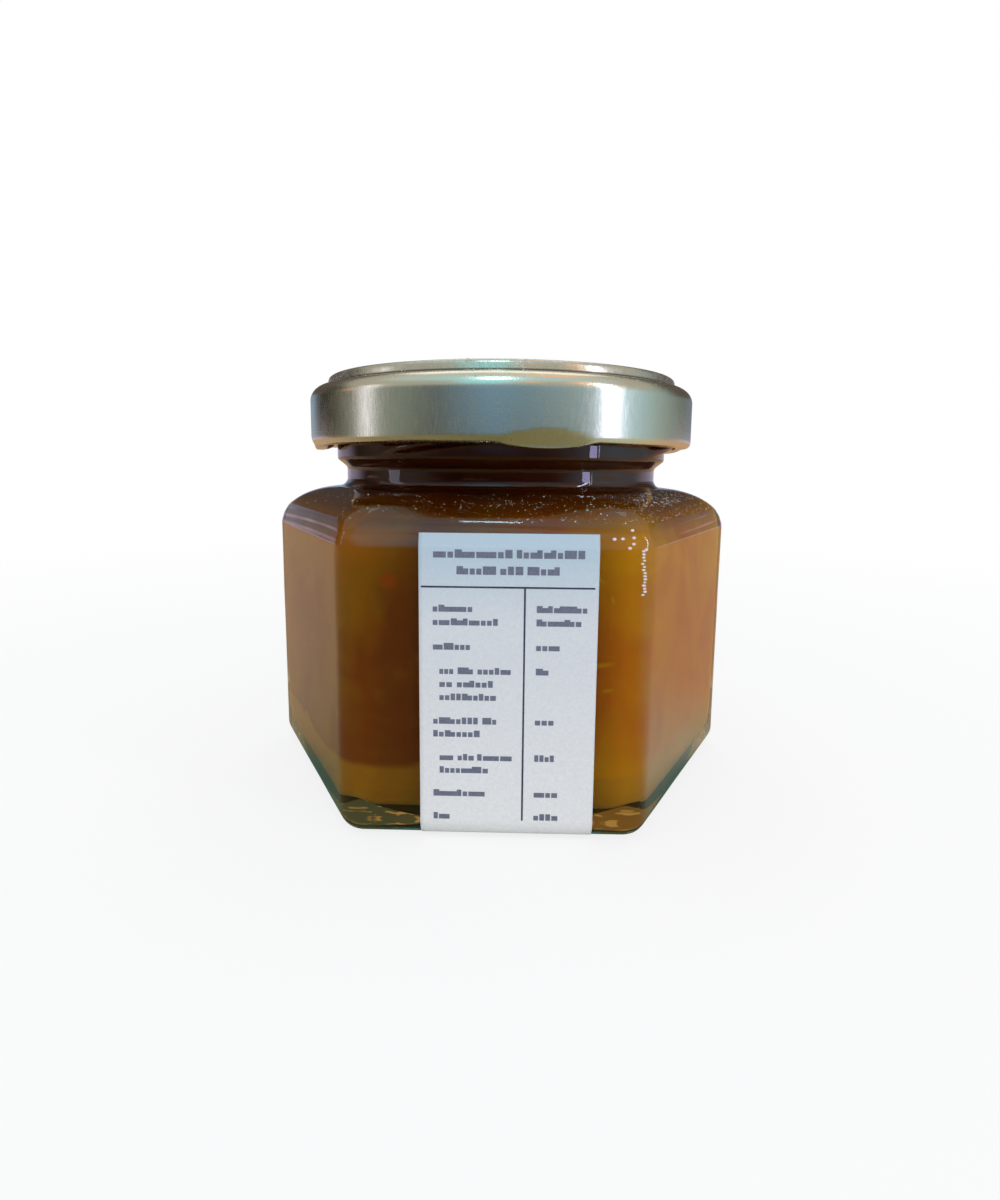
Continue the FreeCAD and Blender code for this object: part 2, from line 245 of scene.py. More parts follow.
def bevelled_rows(jar, grown, step):
    """Rows over the outer shoulder, grown outwards by a paper's thickness where asked. Over the flats a
    straight bevel leans in from the faces, and a flatter slope runs on from it to the neck's root. Their
    ends lie on or just inside a quarter ellipse, and arcs join them. Over the edges the outline stays
    on the ellipse: the corner radius at each height is the one that puts the edge there."""
    apothem, neck, rise = GLASS_HIGH.y + grown, jar.neck_radius + grown, jar.shoulder_rise + grown
    bevel = math.asin(jar.bevel_height / rise)
    corners = [(apothem, jar.body_height - jar.bevel_bend), (apothem, jar.body_height)]
    # Each end: how far up the quarter ellipse it lies, and how deep inside it.
    for turn, inside in ((bevel, 0), (math.radians(58), 0.4 * MM), (math.radians(79), 0)):
        corners.append((neck + (apothem - neck) * math.cos(turn),
                        jar.body_height + rise * math.sin(turn) - inside))
    line = bent_line(corners, [0, jar.bevel_bend, jar.bevel_bend, 6 * jar.bevel_bend, 0], step)
    share = np.sqrt(1 - np.clip((line[:, 1] - jar.body_height) / rise, 0, 1) ** 2)
    stretch = 1 / math.cos(SIXTH / 2)
    round_part = neck + (jar.edge_radius + grown - neck) * share
    edge = (neck + (apothem - neck) * share - round_part) * stretch + round_part
    corner = np.clip((line[:, 0] * stretch - edge) / (stretch - 1), 1 * MM, line[:, 0])
    return np.stack([line[:, 0], corner, line[:, 1]], axis=-1)


def upright_rows(apothem, corner, low, high, steps):
    """Rows up the six faces."""
    height = mixed(low, high, steps)
    return np.stack([np.full(steps, apothem), np.full(steps, corner), height], axis=-1)


def thread_swell(azimuth, height, jar):
    """How far the glass threads stand out. Each is a long low swelling, highest in its middle, cut
    from a cylinder set off the axis, and its round back follows a helix."""
    half_span = jar.thread_span / 2
    crest, wall = jar.thread_crest, jar.finish_radius
    offset = (crest ** 2 - wall ** 2) / (2 * (crest - wall * math.cos(half_span)))
    swell = np.zeros(np.broadcast(azimuth, height).shape)
    for number in range(4):
        turn = wrapped(azimuth - jar.thread_middle - number * math.pi / 2)
        reach = (crest - offset) ** 2 - (offset * np.sin(turn)) ** 2
        lift = np.maximum(offset * np.cos(turn) + np.sqrt(np.maximum(reach, 0)) - wall, 0)
        middle = jar.thread_underside + jar.thread_height / 2 + jar.thread_lead * turn / (2 * math.pi)
        across = np.clip(np.abs(height - middle) / (jar.thread_height / 2 + 0.15 * MM), 0, 1)
        round_back = (1 - across ** 3) ** 1.5
        swell = np.maximum(swell, np.where(np.abs(turn) < half_span, lift * round_back, 0))
    return swell


def glass_rows(jar):
    """All rows of the glass: under the base, up the outside, over the rim, down the inside and over
    the floor. The highest row is the first one of the rim's flat top."""
    apothem, corner, heel = GLASS_HIGH.y, jar.edge_radius, jar.heel_radius
    ball = (jar.push_up_radius ** 2 + jar.push_up_depth ** 2) / (2 * jar.push_up_depth)
    dome = np.linspace(0.4 * MM, jar.push_up_radius, 10)
    dome = np.stack([dome, dome, np.sqrt(ball ** 2 - dome ** 2) + jar.push_up_depth - ball], axis=-1)
    share = np.linspace(0, 1, 6)[1:-1, None]
    bearing = dome[-1] + (np.array([apothem - heel, corner - heel, 0]) - dome[-1]) * share
    neck, root = jar.neck_radius, jar.neck_root_radius
    neck_root = jar.body_height + jar.shoulder_rise
    rim = GLASS_HIGH.z
    inner_neck = neck - jar.wall
    inner_line = [(jar.mouth_radius, rim), (jar.mouth_radius, jar.flare_top),
                  (inner_neck, jar.flare_foot), (inner_neck, neck_root - jar.wall + 0.1 * MM)]
    outer_line = [(neck + root, neck_root), (neck, neck_root), (neck, jar.bead_foot),
                  (jar.finish_radius, jar.bead_foot + jar.bead_slope), (jar.finish_radius, rim)]
    bends = [0, root * 0.98, root / 2, root / 2, jar.rim_edge, jar.mouth_edge,
             jar.flare_bend, jar.flare_bend, 0]
    line = bent_line(outer_line + inner_line, bends, ROW_STEP)
    outside = np.concatenate([
        dome, bearing,
        heel_rows(apothem, corner, 0, heel, 14),
        upright_rows(apothem, corner, heel, jar.body_height - jar.bevel_bend, 14),
        bevelled_rows(jar, 0, ROW_STEP),
    ])
    inner, inner_corner, inner_heel = JAM_HIGH.y, jar.inner_edge_radius, jar.inner_heel_radius
    inside = np.concatenate([
        heel_rows(inner, inner_corner, JAM_LOW.z, inner_heel, 10),
        upright_rows(inner, inner_corner, JAM_LOW.z + inner_heel, jar.body_height, 8),
        shoulder_rows(inner, inner_corner, jar.body_height, inner_neck, jar.shoulder_rise - jar.wall, 18),
    ])[::-1]
    floor = inside[-1] * np.linspace(1, 0.02, 8)[1:, None]
    floor[:, 2] = JAM_LOW.z
    return np.concatenate([outside, turned(line), inside, floor])


def jam_rows(jar, overlap, sunk):
    """All rows of the jam: the room inside the glass, grown by the overlap so that no air shows
    between the two, up to the level, and a slightly sunk surface."""
    inner, corner = JAM_HIGH.y + overlap, jar.inner_edge_radius + overlap
    neck = jar.neck_radius - jar.wall + overlap
    heel = jar.inner_heel_radius + overlap
    level = JAM_HIGH.z
    low = JAM_LOW.z - overlap
    side = np.concatenate([
        heel_rows(inner, corner, low, heel, 14),
        upright_rows(inner, corner, low + heel, jar.body_height, 20),
        shoulder_rows(inner, corner, jar.body_height, neck, jar.shoulder_rise - jar.wall + overlap, 24),
    ])
    floor = side[0] * np.linspace(0.02, 1, 8)[:-1, None]
    floor[:, 2] = low
    mouth = jar.mouth_radius + overlap
    line = bent_line([(neck, side[-1, 2] + 0.3 * MM), (neck, jar.flare_foot), (mouth, jar.flare_top),
                      (mouth, level), (mouth - 2 * MM, level - 0.8 * sunk), (0.3 * MM, level - sunk)],
                     [0, jar.flare_bend, jar.flare_bend, 0.3 * MM, 1.5 * MM, 0], 0.6 * MM)
    return np.concatenate([floor, side, turned(line)])


def pressed_unevenness(azimuth, height, depth):
    """Faint waves that moulding leaves in glass: the sum of a few slow sines round and up."""
    wave = np.sin(5 * azimuth + 310 * height) + np.sin(9 * azimuth - 190 * height + 1.3)
    return depth * (wave + np.sin(17 * azimuth + 520 * height + 0.4) * 0.5) / 2.5


def root_ripple(azimuth, height, jar):
    """Ripples where the finish mould met the body mould: an uneven sine round the neck's root, which
    dies away above and below it as a bell curve."""
    near = np.exp(-((height - jar.body_height - jar.shoulder_rise - 0.3 * MM) / (0.5 * MM)) ** 2)
    return jar.ripple * near * np.sin(44 * azimuth + 4 * np.sin(7 * azimuth + 1) + 2 * np.sin(3 * azimuth))


def shoulder_folds(azimuth, height, jar):
    """Level waves that the blow leaves on the shoulder's bevel: a sine up the bevel, stronger and weaker
    round the jar, which dies away at both ends of it."""
    rise = (height - jar.body_height) / jar.bevel_height
    inside = np.clip(rise * (1.15 - rise) * 4, 0, 1)
    strength = 0.7 + 0.3 * np.sin(5 * azimuth + 1) * np.sin(11 * azimuth)
    return jar.fold * inside * strength * np.sin(2 * math.pi * 2.5 * rise + 2.5 * np.sin(2 * azimuth))


def mould_seam(azimuth, jar):
    """The join of the mould's halves: a low line up two opposite edges, a bell curve across."""
    off = wrapped(2 * (azimuth - jar.seam_place)) / 2
    return jar.seam * np.exp(-(off * GLASS_HIGH.x / (0.22 * MM)) ** 2)


# ---- Forms of the cap, label, print and small grains ----

def cap_points(azimuth, cap):
    """The cap's outer face, from the hidden end of its rolled rim round the rim, up the skirt, over
    the ledge and the sealing ring to the middle of the sunk panel. Outside each lug the skirt is cut
    back to a plane that leans in, and there the rim hangs lower and its inner edge reaches inwards."""
    radius, top, foot = LID_HIGH.x, LID_HIGH.z, LID_LOW.z
    panel = top - cap.panel_depth
    rim = foot + cap.lug_drop
    curl_top = rim + cap.curl_size
    inner = radius - cap.curl_size
    line = bent_line(
        [(radius - 3 * cap.sheet, curl_top), (inner, curl_top), (inner, rim), (radius, rim),
         (radius, cap.ledge), (cap.ring_radius + 0.3 * MM, cap.ledge), (cap.ring_radius, top),
         (cap.panel_radius, top), (cap.panel_radius - cap.panel_depth, panel), (0.3 * MM, panel)],
        [0, cap.curl_bend / 2, cap.curl_bend, cap.curl_bend, cap.shoulder_bend, 0.25 * MM,
         cap.ring_bend, cap.ring_bend, cap.ring_bend, 0], 0.42 * MM)
    distance = line[:, 0, None] + 0 * azimuth
    height = line[:, 1, None] + 0 * azimuth
    half_span = cap.lug_span / 2
    depth = radius * (1 - math.cos(half_span))
    share = np.clip((cap.facet_top - height) / cap.facet_slope, 0, 1)
    kept = 0.9 * MM     # what a lug leaves of the rolled rim's width
    inward = np.clip((radius - kept - distance) / (cap.curl_size - kept), 0, 1) * (share > 0)
    for number in range(4):
        turn = wrapped(azimuth - cap.lug_middle - number * math.pi / 2)
        near = np.clip(1 - (turn / half_span) ** 2, 0, 1)
        plane = (radius - depth * share) / np.cos(np.clip(turn, -1, 1))
        distance = np.where((share > 0) & (near > 0), np.minimum(distance, plane), distance)
        distance = distance - cap.lug_reach * inward * near ** 0.5
        height = height - cap.lug_drop * near * share
    return polar(azimuth, distance, height)


def label_line(jar, thickness, steps):
    """(depth, height) points up the label: the vessel's outline at the middle of the front face, a
    paper's thickness out, from the label's foot on the heel to its top edge on the shoulder."""
    apothem, corner, heel = GLASS_HIGH.y + thickness, jar.edge_radius, jar.heel_radius + thickness
    rows = np.concatenate([
        heel_rows(apothem, corner, -thickness, heel, 40),
        upright_rows(apothem, corner, heel - thickness, jar.body_height - jar.bevel_bend, 8),
        bevelled_rows(jar, thickness, 0.1 * MM),
    ])
    height = np.concatenate([mixed(LABEL_LOW.z, heel, steps // 4),
                             mixed(heel, jar.body_height, steps // 2),
                             np.linspace(jar.body_height, LABEL_HIGH.z, steps // 4)])
    return np.interp(height, rows[:, 2], rows[:, 0]), height


def flat_bars(bars, face, thickness):
    """Points and faces of thin bars that lie on the front face: each bar is (left, right, low, high), and
    stands in front of the face by its thickness."""
    bars = np.array(bars, float)
    left, right, low, high = bars.T
    back, front = np.full(len(bars), face), np.full(len(bars), face - thickness)
    corners = [(left, front, low), (right, front, low), (right, front, high), (left, front, high),
               (left, back, low), (right, back, low), (right, back, high), (left, back, high)]
    points = np.stack([np.stack(corner, axis=-1) for corner in corners], axis=1)
    box = np.array([(0, 1, 2, 3), (5, 4, 7, 6), (4, 0, 3, 7), (1, 5, 6, 2), (3, 2, 6, 7), (4, 5, 1, 0)])
    faces = (np.arange(len(bars))[:, None, None] * 8 + box).reshape(-1, 4)
    return points, faces.tolist()


def word_blocks(left, base, size, letter, rng):
    """A word as a row of plain solid blocks, none of them a letter. Some run together, and some stand a
    little higher. Each block is a bar (left, right, low, high)."""
    count = max(1, round(size / (letter * 0.92)))
    start = left + np.arange(count) * size / count
    end = start + size / count * np.where(rng.random(count) < 0.4, 1.0, 0.78)
    low = np.full(count, base + 0.1 * letter)
    high = base + letter * np.where(rng.random(count) < 0.25, 1.2, 0.9)
    return np.stack([start, end, low, high], axis=-1)


def scattered_grains(places, normals, sizes, rng):
    """Points and faces of small angular grains: an uneven octahedron at each place, pressed flat
    along its normal and turned at random about it."""
    count = len(places)
    turn = rng.random(count) * 2 * math.pi
    helper = np.where(np.abs(normals[:, 2:3]) < 0.9, [[0.0, 0.0, 1.0]], [[1.0, 0.0, 0.0]])
    side = np.cross(helper, normals)
    side /= np.linalg.norm(side, axis=1, keepdims=True)
    other = np.cross(normals, side)
    first = side * np.cos(turn)[:, None] + other * np.sin(turn)[:, None]
    second = np.cross(normals, first)
    reach = sizes[:, None] * (0.6 + 0.8 * rng.random((count, 6)))
    flat = sizes * 0.35
    points = np.stack([places + first * reach[:, 0:1], places + second * reach[:, 1:2],
                       places - first * reach[:, 2:3], places - second * reach[:, 3:4],
                       places + normals * flat[:, None], places - normals * flat[:, None]], axis=1)
    tips = np.array([(0, 1, 4), (1, 2, 4), (2, 3, 4), (3, 0, 4), (1, 0, 5), (2, 1, 5), (3, 2, 5), (0, 3, 5)])
    faces = (np.arange(count)[:, None, None] * 6 + tips).reshape(-1, 3)
    return points, faces.tolist()


def beads(places, radii, rows=7, columns=12):
    """Points and faces of round drops: a ball at each place, worked out from its latitude and
    azimuth, with its poles closed by the rings nearest to them."""
    latitude = np.linspace(-math.pi / 2, math.pi / 2, rows + 2)[1:-1, None]
    ball = polar(mixed(0, 2 * math.pi, columns), np.cos(latitude), np.sin(latitude)).reshape(-1, 3)
    ball = np.concatenate([ball, [(0, 0, -1), (0, 0, 1)]])
    points = places[:, None, :] + ball * radii[:, None, :]
    sides = grid_faces(rows, columns)
    ring = np.arange(columns)
    last = ring + (rows - 1) * columns
    south = np.stack([np.full(columns, rows * columns), np.roll(ring, -1), ring], axis=-1)
    north = np.stack([last, np.roll(last, -1), np.full(columns, rows * columns + 1)], axis=-1)
    step = (np.arange(len(places)) * len(ball))[:, None, None]
    faces = (sides + step).reshape(-1, 4).tolist()
    return points, faces + (np.concatenate([south, north]) + step).reshape(-1, 3).tolist()


def on_shoulder(azimuth, share, jar, lift):
    """Places and outward normals on the glass shoulder, from an azimuth and a share of the way up its
    rows. The normal stands square to the line from each row to the next."""
    rows = bevelled_rows(jar, 0, ROW_STEP)
    run = np.linspace(0, 1, len(rows))
    apothem, corner, height = (np.interp(share, run, rows[:, k]) for k in range(3))
    radius = hexagon_radius(azimuth, apothem, corner)
    change = np.gradient(rows, axis=0)
    steep = np.interp(share, run, np.arctan2(-change[:, 0], change[:, 2]))
    normal = polar(azimuth, np.cos(steep), np.sin(steep))
    return polar(azimuth, radius, height) + normal * lift, normal


# ---- Materials ----

def soda_lime_glass(jar):
    """Press-and-blow container glass: clear, glossy, faintly green where the light runs a long way
    through it. Lamps' shadow rays go straight through, so that what it holds is lit."""
    material, tree, spot = new_material("soda_lime_container_glass")
    ripple = add_node(tree, "ShaderNodeTexNoise", {"Vector": spot, "Scale": 1 / (5.56 * MM), "Detail": 2.0})
    bump = add_node(tree, "ShaderNodeBump", {"Height": ripple, "Strength": 0.12, "Distance": 0.1 * MM})
    glass = add_node(tree, "ShaderNodeBsdfPrincipled", {
        "Base Color": srgb("#fbfdfc"), "Roughness": 0.0, "IOR": 1.52, "Transmission Weight": 1.0,
        "Normal": bump})
    clear = add_node(tree, "ShaderNodeBsdfTransparent", {"Color": srgb("#f4f7f5")})
    path = add_node(tree, "ShaderNodeLightPath")
    shader = add_node(tree, "ShaderNodeMixShader", {0: path.outputs["Is Shadow Ray"], 1: glass, 2: clear})
    tint = add_node(tree, "ShaderNodeVolumeAbsorption", {"Color": jar.tint, "Density": jar.tint_density})
    add_node(tree, "ShaderNodeOutputMaterial", {"Surface": shader, "Volume": tint})
    return material


def pumpkin_jam(jam):
    """Cooked pumpkin and sugar: a translucent brown-gold gel with paler shreds and random clouds. Light
    and shade are painted into its colour: painted light towards +X, towards the edges and at the top of
    the faces, painted shade of the cap that makes it nearly black in the neck, and painted light from
    below that makes it paler over the floor."""
    material, tree, spot = new_material("pumpkin_jam_gel")
    across, _, up = add_node(tree, "ShaderNodeSeparateXYZ", {0: spot}).outputs
    flat = add_node(tree, "ShaderNodeVectorMath", {0: spot, 1: (1, 1, 0)}, operation="MULTIPLY")
    reach = add_node(tree, "ShaderNodeVectorMath", {0: flat}, operation="LENGTH")
    cloud = add_node(tree, "ShaderNodeTexNoise", {
        "Vector": spot, "Scale": 1 / (16.7 * MM), "Detail": 3.0, "Distortion": 0.6})
    # Each tone: along what it comes in, where it starts and ends, and how much lighter it makes the gel.
    # All but the cloud are painted light: towards +X, towards the edges and up the faces.
    tones = [(across, -9 * MM, 13 * MM, 0.62), (reach, JAM_HIGH.y, JAM_HIGH.x, 0.10),
             (cloud, 0.35, 0.7, 0.20), (up, 27 * MM, 41 * MM, 0.15)]
    painted_light_and_cloud = 0.0
    for source, low, high, weight in tones:
        part = add_node(tree, "ShaderNodeMapRange", {0: source, 1: low, 2: high},
                        interpolation_type="SMOOTHSTEP")
        painted_light_and_cloud = add_node(tree, "ShaderNodeMath", {0: part, 1: weight, 2: painted_light_and_cloud}, operation="MULTIPLY_ADD")
    # The ramp turns that painted light and the clouds into colour, from the painted shaded side to the
    # painted lit side.
    body = add_node(tree, "ShaderNodeValToRGB", {0: painted_light_and_cloud}, stops=[
        (0.0, jam.deep), (0.14, jam.brown), (0.3, jam.olive), (0.7, jam.gold), (0.92, jam.light)])
    # Painted light: light coming in through the floor makes the jam paler low down, up to an edge that the
    # cloud makes uneven.
    edge = add_node(tree, "ShaderNodeMath", {0: cloud, 1: 8 * MM, 2: up}, operation="MULTIPLY_ADD")
    # Each patch: along what it comes in, from where to where, how strongly it covers, and its colour.
    patches = [(edge, 14.2 * MM, 13.0 * MM, 0.7, jam.band)]
    # Each shred lies close to the front face. In millimetres: the place of its middle, to the right and
    # up, and its half length and half width. Then its tilt in degrees and its colour.
    shreds = ((-14.3, 36.3, 1.7, 1.5, 0, jam.shred), (13.6, 36.9, 2.0, 0.45, 24, jam.strand),
              (14.4, 24.9, 2.6, 0.5, -8, jam.strand), (15.6, 21.4, 1.0, 0.35, -12, jam.strand),
              (15.9, 34.0, 0.9, 0.3, 70, jam.strand), (-15.5, 14.0, 2.4, 0.5, 80, jam.brown))
    for right, height, long, wide, tilt, tone in shreds:
        laid = add_node(tree, "ShaderNodeMapping", {
            0: spot, "Location": (right * MM, -JAM_HIGH.y, height * MM),
            "Rotation": (0, math.radians(tilt), 0), "Scale": (long * MM, 5 * MM, wide * MM)},
            vector_type="TEXTURE")
        away = add_node(tree, "ShaderNodeVectorMath", {0: laid}, operation="LENGTH")
        patches.append((away, 1.0, 0.3, 0.45, tone))
    # Painted shade: the cap's shade darkens the jam in the neck to nearly black.
    patches.append((up, 40.5 * MM, 46 * MM, 0.95, jam.neck))
    for source, low, high, cover, tone in patches:
        part = add_node(tree, "ShaderNodeMapRange", {0: source, 1: low, 2: high, 4: cover},
                        interpolation_type="SMOOTHSTEP")
        body = add_node(tree, "ShaderNodeMix", {0: part, 6: body, 7: tone}, data_type="RGBA")
    gel = add_node(tree, "ShaderNodeBsdfPrincipled", {
        "Base Color": body, "Roughness": 0.45, "IOR": 1.45, "Specular IOR Level": 0.04,
        "Subsurface Weight": 1.0, "Subsurface Radius": (1.0, 0.35, 0.08), "Subsurface Scale": 1.2 * MM})
    add_node(tree, "ShaderNodeOutputMaterial", {"Surface": gel})
    return material


def lacquered_tinplate(cap):
    """Tinplate with a satin champagne lacquer: a soft metal gloss with a fine grain, a film of dust on
    the parts that face up, and a dark painted shade in the crease along the foot of the sealing ring."""
    material, tree, spot = new_material("satin_lacquered_tinplate")
    grain = add_node(tree, "ShaderNodeTexNoise", {"Vector": spot, "Scale": 1 / (0.3125 * MM), "Detail": 2.0})
    # Coating rollers leave fine upright streaks, a quarter of a millimetre apart and two long.
    drawn = add_node(tree, "ShaderNodeMapping", {0: spot, "Scale": (0.25 * MM, 0.25 * MM, 2 * MM)},
                     vector_type="TEXTURE")
    streaks = add_node(tree, "ShaderNodeTexNoise", {"Vector": drawn, "Scale": 1.0, "Detail": 1.0})
    rough = add_node(tree, "ShaderNodeMapRange", {
        0: streaks, 1: 0.3, 2: 0.7, 3: cap.roughness - 0.04, 4: cap.roughness + 0.04})
    bump = add_node(tree, "ShaderNodeBump", {"Height": grain, "Strength": 0.25, "Distance": 0.03 * MM})
    metal = add_node(tree, "ShaderNodeBsdfPrincipled", {
        "Base Color": cap.lacquer, "Metallic": 1.0, "Roughness": rough, "Normal": bump})
    up = add_node(tree, "ShaderNodeSeparateXYZ", {0: spot}).outputs[2]
    high = add_node(tree, "ShaderNodeMapRange", {
        0: up, 1: cap.ledge - 0.1 * MM, 2: cap.ledge + 0.3 * MM, 4: cap.dustiness})
    specks = add_node(tree, "ShaderNodeTexNoise", {"Vector": spot, "Scale": 1 / (0.667 * MM), "Detail": 3.0})
    patchy = add_node(tree, "ShaderNodeMapRange", {0: specks, 1: 0.42, 2: 0.62, 3: 0.35, 4: 1.0})
    film = add_node(tree, "ShaderNodeMath", {0: high, 1: patchy}, operation="MULTIPLY")
    flat = add_node(tree, "ShaderNodeVectorMath", {0: spot, 1: (1, 1, 0)}, operation="MULTIPLY")
    reach = add_node(tree, "ShaderNodeVectorMath", {0: flat}, operation="LENGTH")
    # Painted shade: in the crease along the foot of the sealing ring the cover turns dark brown-grey.
    near = add_node(tree, "ShaderNodeMapRange", {
        0: reach, 1: cap.ring_radius + 0.75 * MM, 2: cap.ring_radius + 0.5 * MM})
    low = add_node(tree, "ShaderNodeMapRange", {
        0: up, 1: cap.ledge + 0.5 * MM, 2: cap.ledge + 0.25 * MM, 4: 0.9})
    foot = add_node(tree, "ShaderNodeMath", {0: near, 1: low}, operation="MULTIPLY")
    tone = add_node(tree, "ShaderNodeMix", {0: foot, 6: srgb("#9a9488"), 7: srgb("#3b342b")},
                    data_type="RGBA")
    cover = add_node(tree, "ShaderNodeMath", {0: film, 1: foot}, operation="MAXIMUM")
    # This matt cover is the dust film and, at the ring's foot, the painted shade.
    dust = add_node(tree, "ShaderNodeBsdfDiffuse", {"Color": tone})
    shader = add_node(tree, "ShaderNodeMixShader", {0: cover, 1: metal, 2: dust})
    add_node(tree, "ShaderNodeOutputMaterial", {"Surface": shader})
    return material


def plastisol():
    """PVC plastisol sealing compound, flowed in and baked: soft, off-white and slightly glossy."""
    material, tree, spot = new_material("plastisol_sealing_compound")
    flow = add_node(tree, "ShaderNodeTexNoise", {"Vector": spot, "Scale": 1 / (2.5 * MM), "Detail": 2.0})
    tone = add_node(tree, "ShaderNodeValToRGB", {0: flow}, stops=[
        (0.3, srgb("#cbc8bd")), (0.7, srgb("#dad8cf"))])
    bump = add_node(tree, "ShaderNodeBump", {"Height": flow, "Strength": 0.3, "Distance": 0.05 * MM})
    soft = add_node(tree, "ShaderNodeBsdfPrincipled", {
        "Base Color": tone, "Roughness": 0.42, "IOR": 1.53, "Normal": bump})
    add_node(tree, "ShaderNodeOutputMaterial", {"Surface": soft})
    return material


def coated_paper(label):
    """Machine-coated label paper, digitally printed: bluish white with a faint fibre grain, a painted
    cool reflection that grows towards the top edge over the heading, and painted light from the table
    towards the foot."""
    material, tree, spot = new_material("coated_label_paper")
    fibre = add_node(tree, "ShaderNodeTexNoise", {"Vector": spot, "Scale": 1 / (0.385 * MM), "Detail": 3.0})
    mottle = add_node(tree, "ShaderNodeMapRange", {0: fibre, 1: 0.3, 2: 0.7, 4: 0.16})
    up = add_node(tree, "ShaderNodeSeparateXYZ", {0: spot}).outputs[2]
    # Painted reflection: the paper turns bluish towards its top edge, for the cool light that the top of the
    # label catches.
    painted_reflection_share = add_node(tree, "ShaderNodeMapRange", {
        0: up, 1: LABEL_HIGH.z - 2 * label.heading, 2: LABEL_HIGH.z}, interpolation_type="SMOOTHSTEP")
    # Painted light: the paper turns lighter towards the foot, for the light that the table throws up.
    low = add_node(tree, "ShaderNodeMapRange", {0: up, 1: 26 * MM, 2: 2 * MM})
    tone = label.paper
    for share, tint in ((painted_reflection_share, label.painted_cool_reflection), (low, label.painted_foot_light), (mottle, srgb("#a9adb8"))):
        tone = add_node(tree, "ShaderNodeMix", {0: share, 6: tone, 7: tint}, data_type="RGBA")
    bump = add_node(tree, "ShaderNodeBump", {"Height": fibre, "Strength": 0.2, "Distance": 0.01 * MM})
    paper = add_node(tree, "ShaderNodeBsdfPrincipled", {
        "Base Color": tone, "Roughness": 0.55, "IOR": 1.45, "Specular IOR Level": 0.3, "Normal": bump})
    add_node(tree, "ShaderNodeOutputMaterial", {"Surface": paper})
    return material


def toner(name, full, thin):
    """Toner print: slate, a little glossier than the paper, uneven between a full and a thin cover."""
    material, tree, spot = new_material(name)
    cover = add_node(tree, "ShaderNodeTexNoise", {"Vector": spot, "Scale": 1 / (0.417 * MM), "Detail": 1.0})
    tone = add_node(tree, "ShaderNodeMix", {0: cover, 6: full, 7: thin}, data_type="RGBA")
    ink = add_node(tree, "ShaderNodeBsdfPrincipled", {"Base Color": tone, "Roughness": 0.4})
    add_node(tree, "ShaderNodeOutputMaterial", {"Surface": ink})
    return material


def house_dust():
    """Pale household dust and lint, matt, from grey to warm white grain by grain."""
    material, tree, spot = new_material("house_dust_grains")
    shade = add_node(tree, "ShaderNodeTexNoise", {"Vector": spot, "Scale": 1 / (1.11 * MM)})
    tone = add_node(tree, "ShaderNodeValToRGB", {0: shade}, stops=[
        (0.35, srgb("#8a7f6c")), (0.5, srgb("#d9cfba")), (0.7, srgb("#ffffff"))])
    grain = add_node(tree, "ShaderNodeBsdfPrincipled", {"Base Color": tone, "Roughness": 0.8})
    add_node(tree, "ShaderNodeOutputMaterial", {"Surface": grain})
    return material


def dried_drops():
    """Drops left by rinsing after filling, dried to a glossy whitish haze."""
    material, tree, spot = new_material("dried_rinse_drops")
    haze = add_node(tree, "ShaderNodeTexNoise", {"Vector": spot, "Scale": 1 / (0.667 * MM)})
    rough = add_node(tree, "ShaderNodeMapRange", {0: haze, 1: 0.3, 2: 0.7, 3: 0.05, 4: 0.25})
    drop = add_node(tree, "ShaderNodeBsdfPrincipled", {
        "Base Color": srgb("#fbeef2"), "Roughness": rough, "IOR": 1.5, "Transmission Weight": 0.15})
    add_node(tree, "ShaderNodeOutputMaterial", {"Surface": drop})
    return material


# ---- Settings that a user would change ----

def length(name, description, default):
    """A length property in metres, shown in the scene's units."""
    return FloatProperty(name=name, description=description, default=default, unit="LENGTH", precision=5)


def angle(name, description, degrees):
    """An angle property, given in degrees and kept in radians."""
    return FloatProperty(name=name, description=description, default=math.radians(degrees), subtype="ANGLE")


def colour(name, description, code):
    """A colour property from an sRGB hex value."""
    return FloatVectorProperty(name=name, description=description, default=srgb(code), size=4,
                               subtype="COLOR", min=0.0, max=1.0)


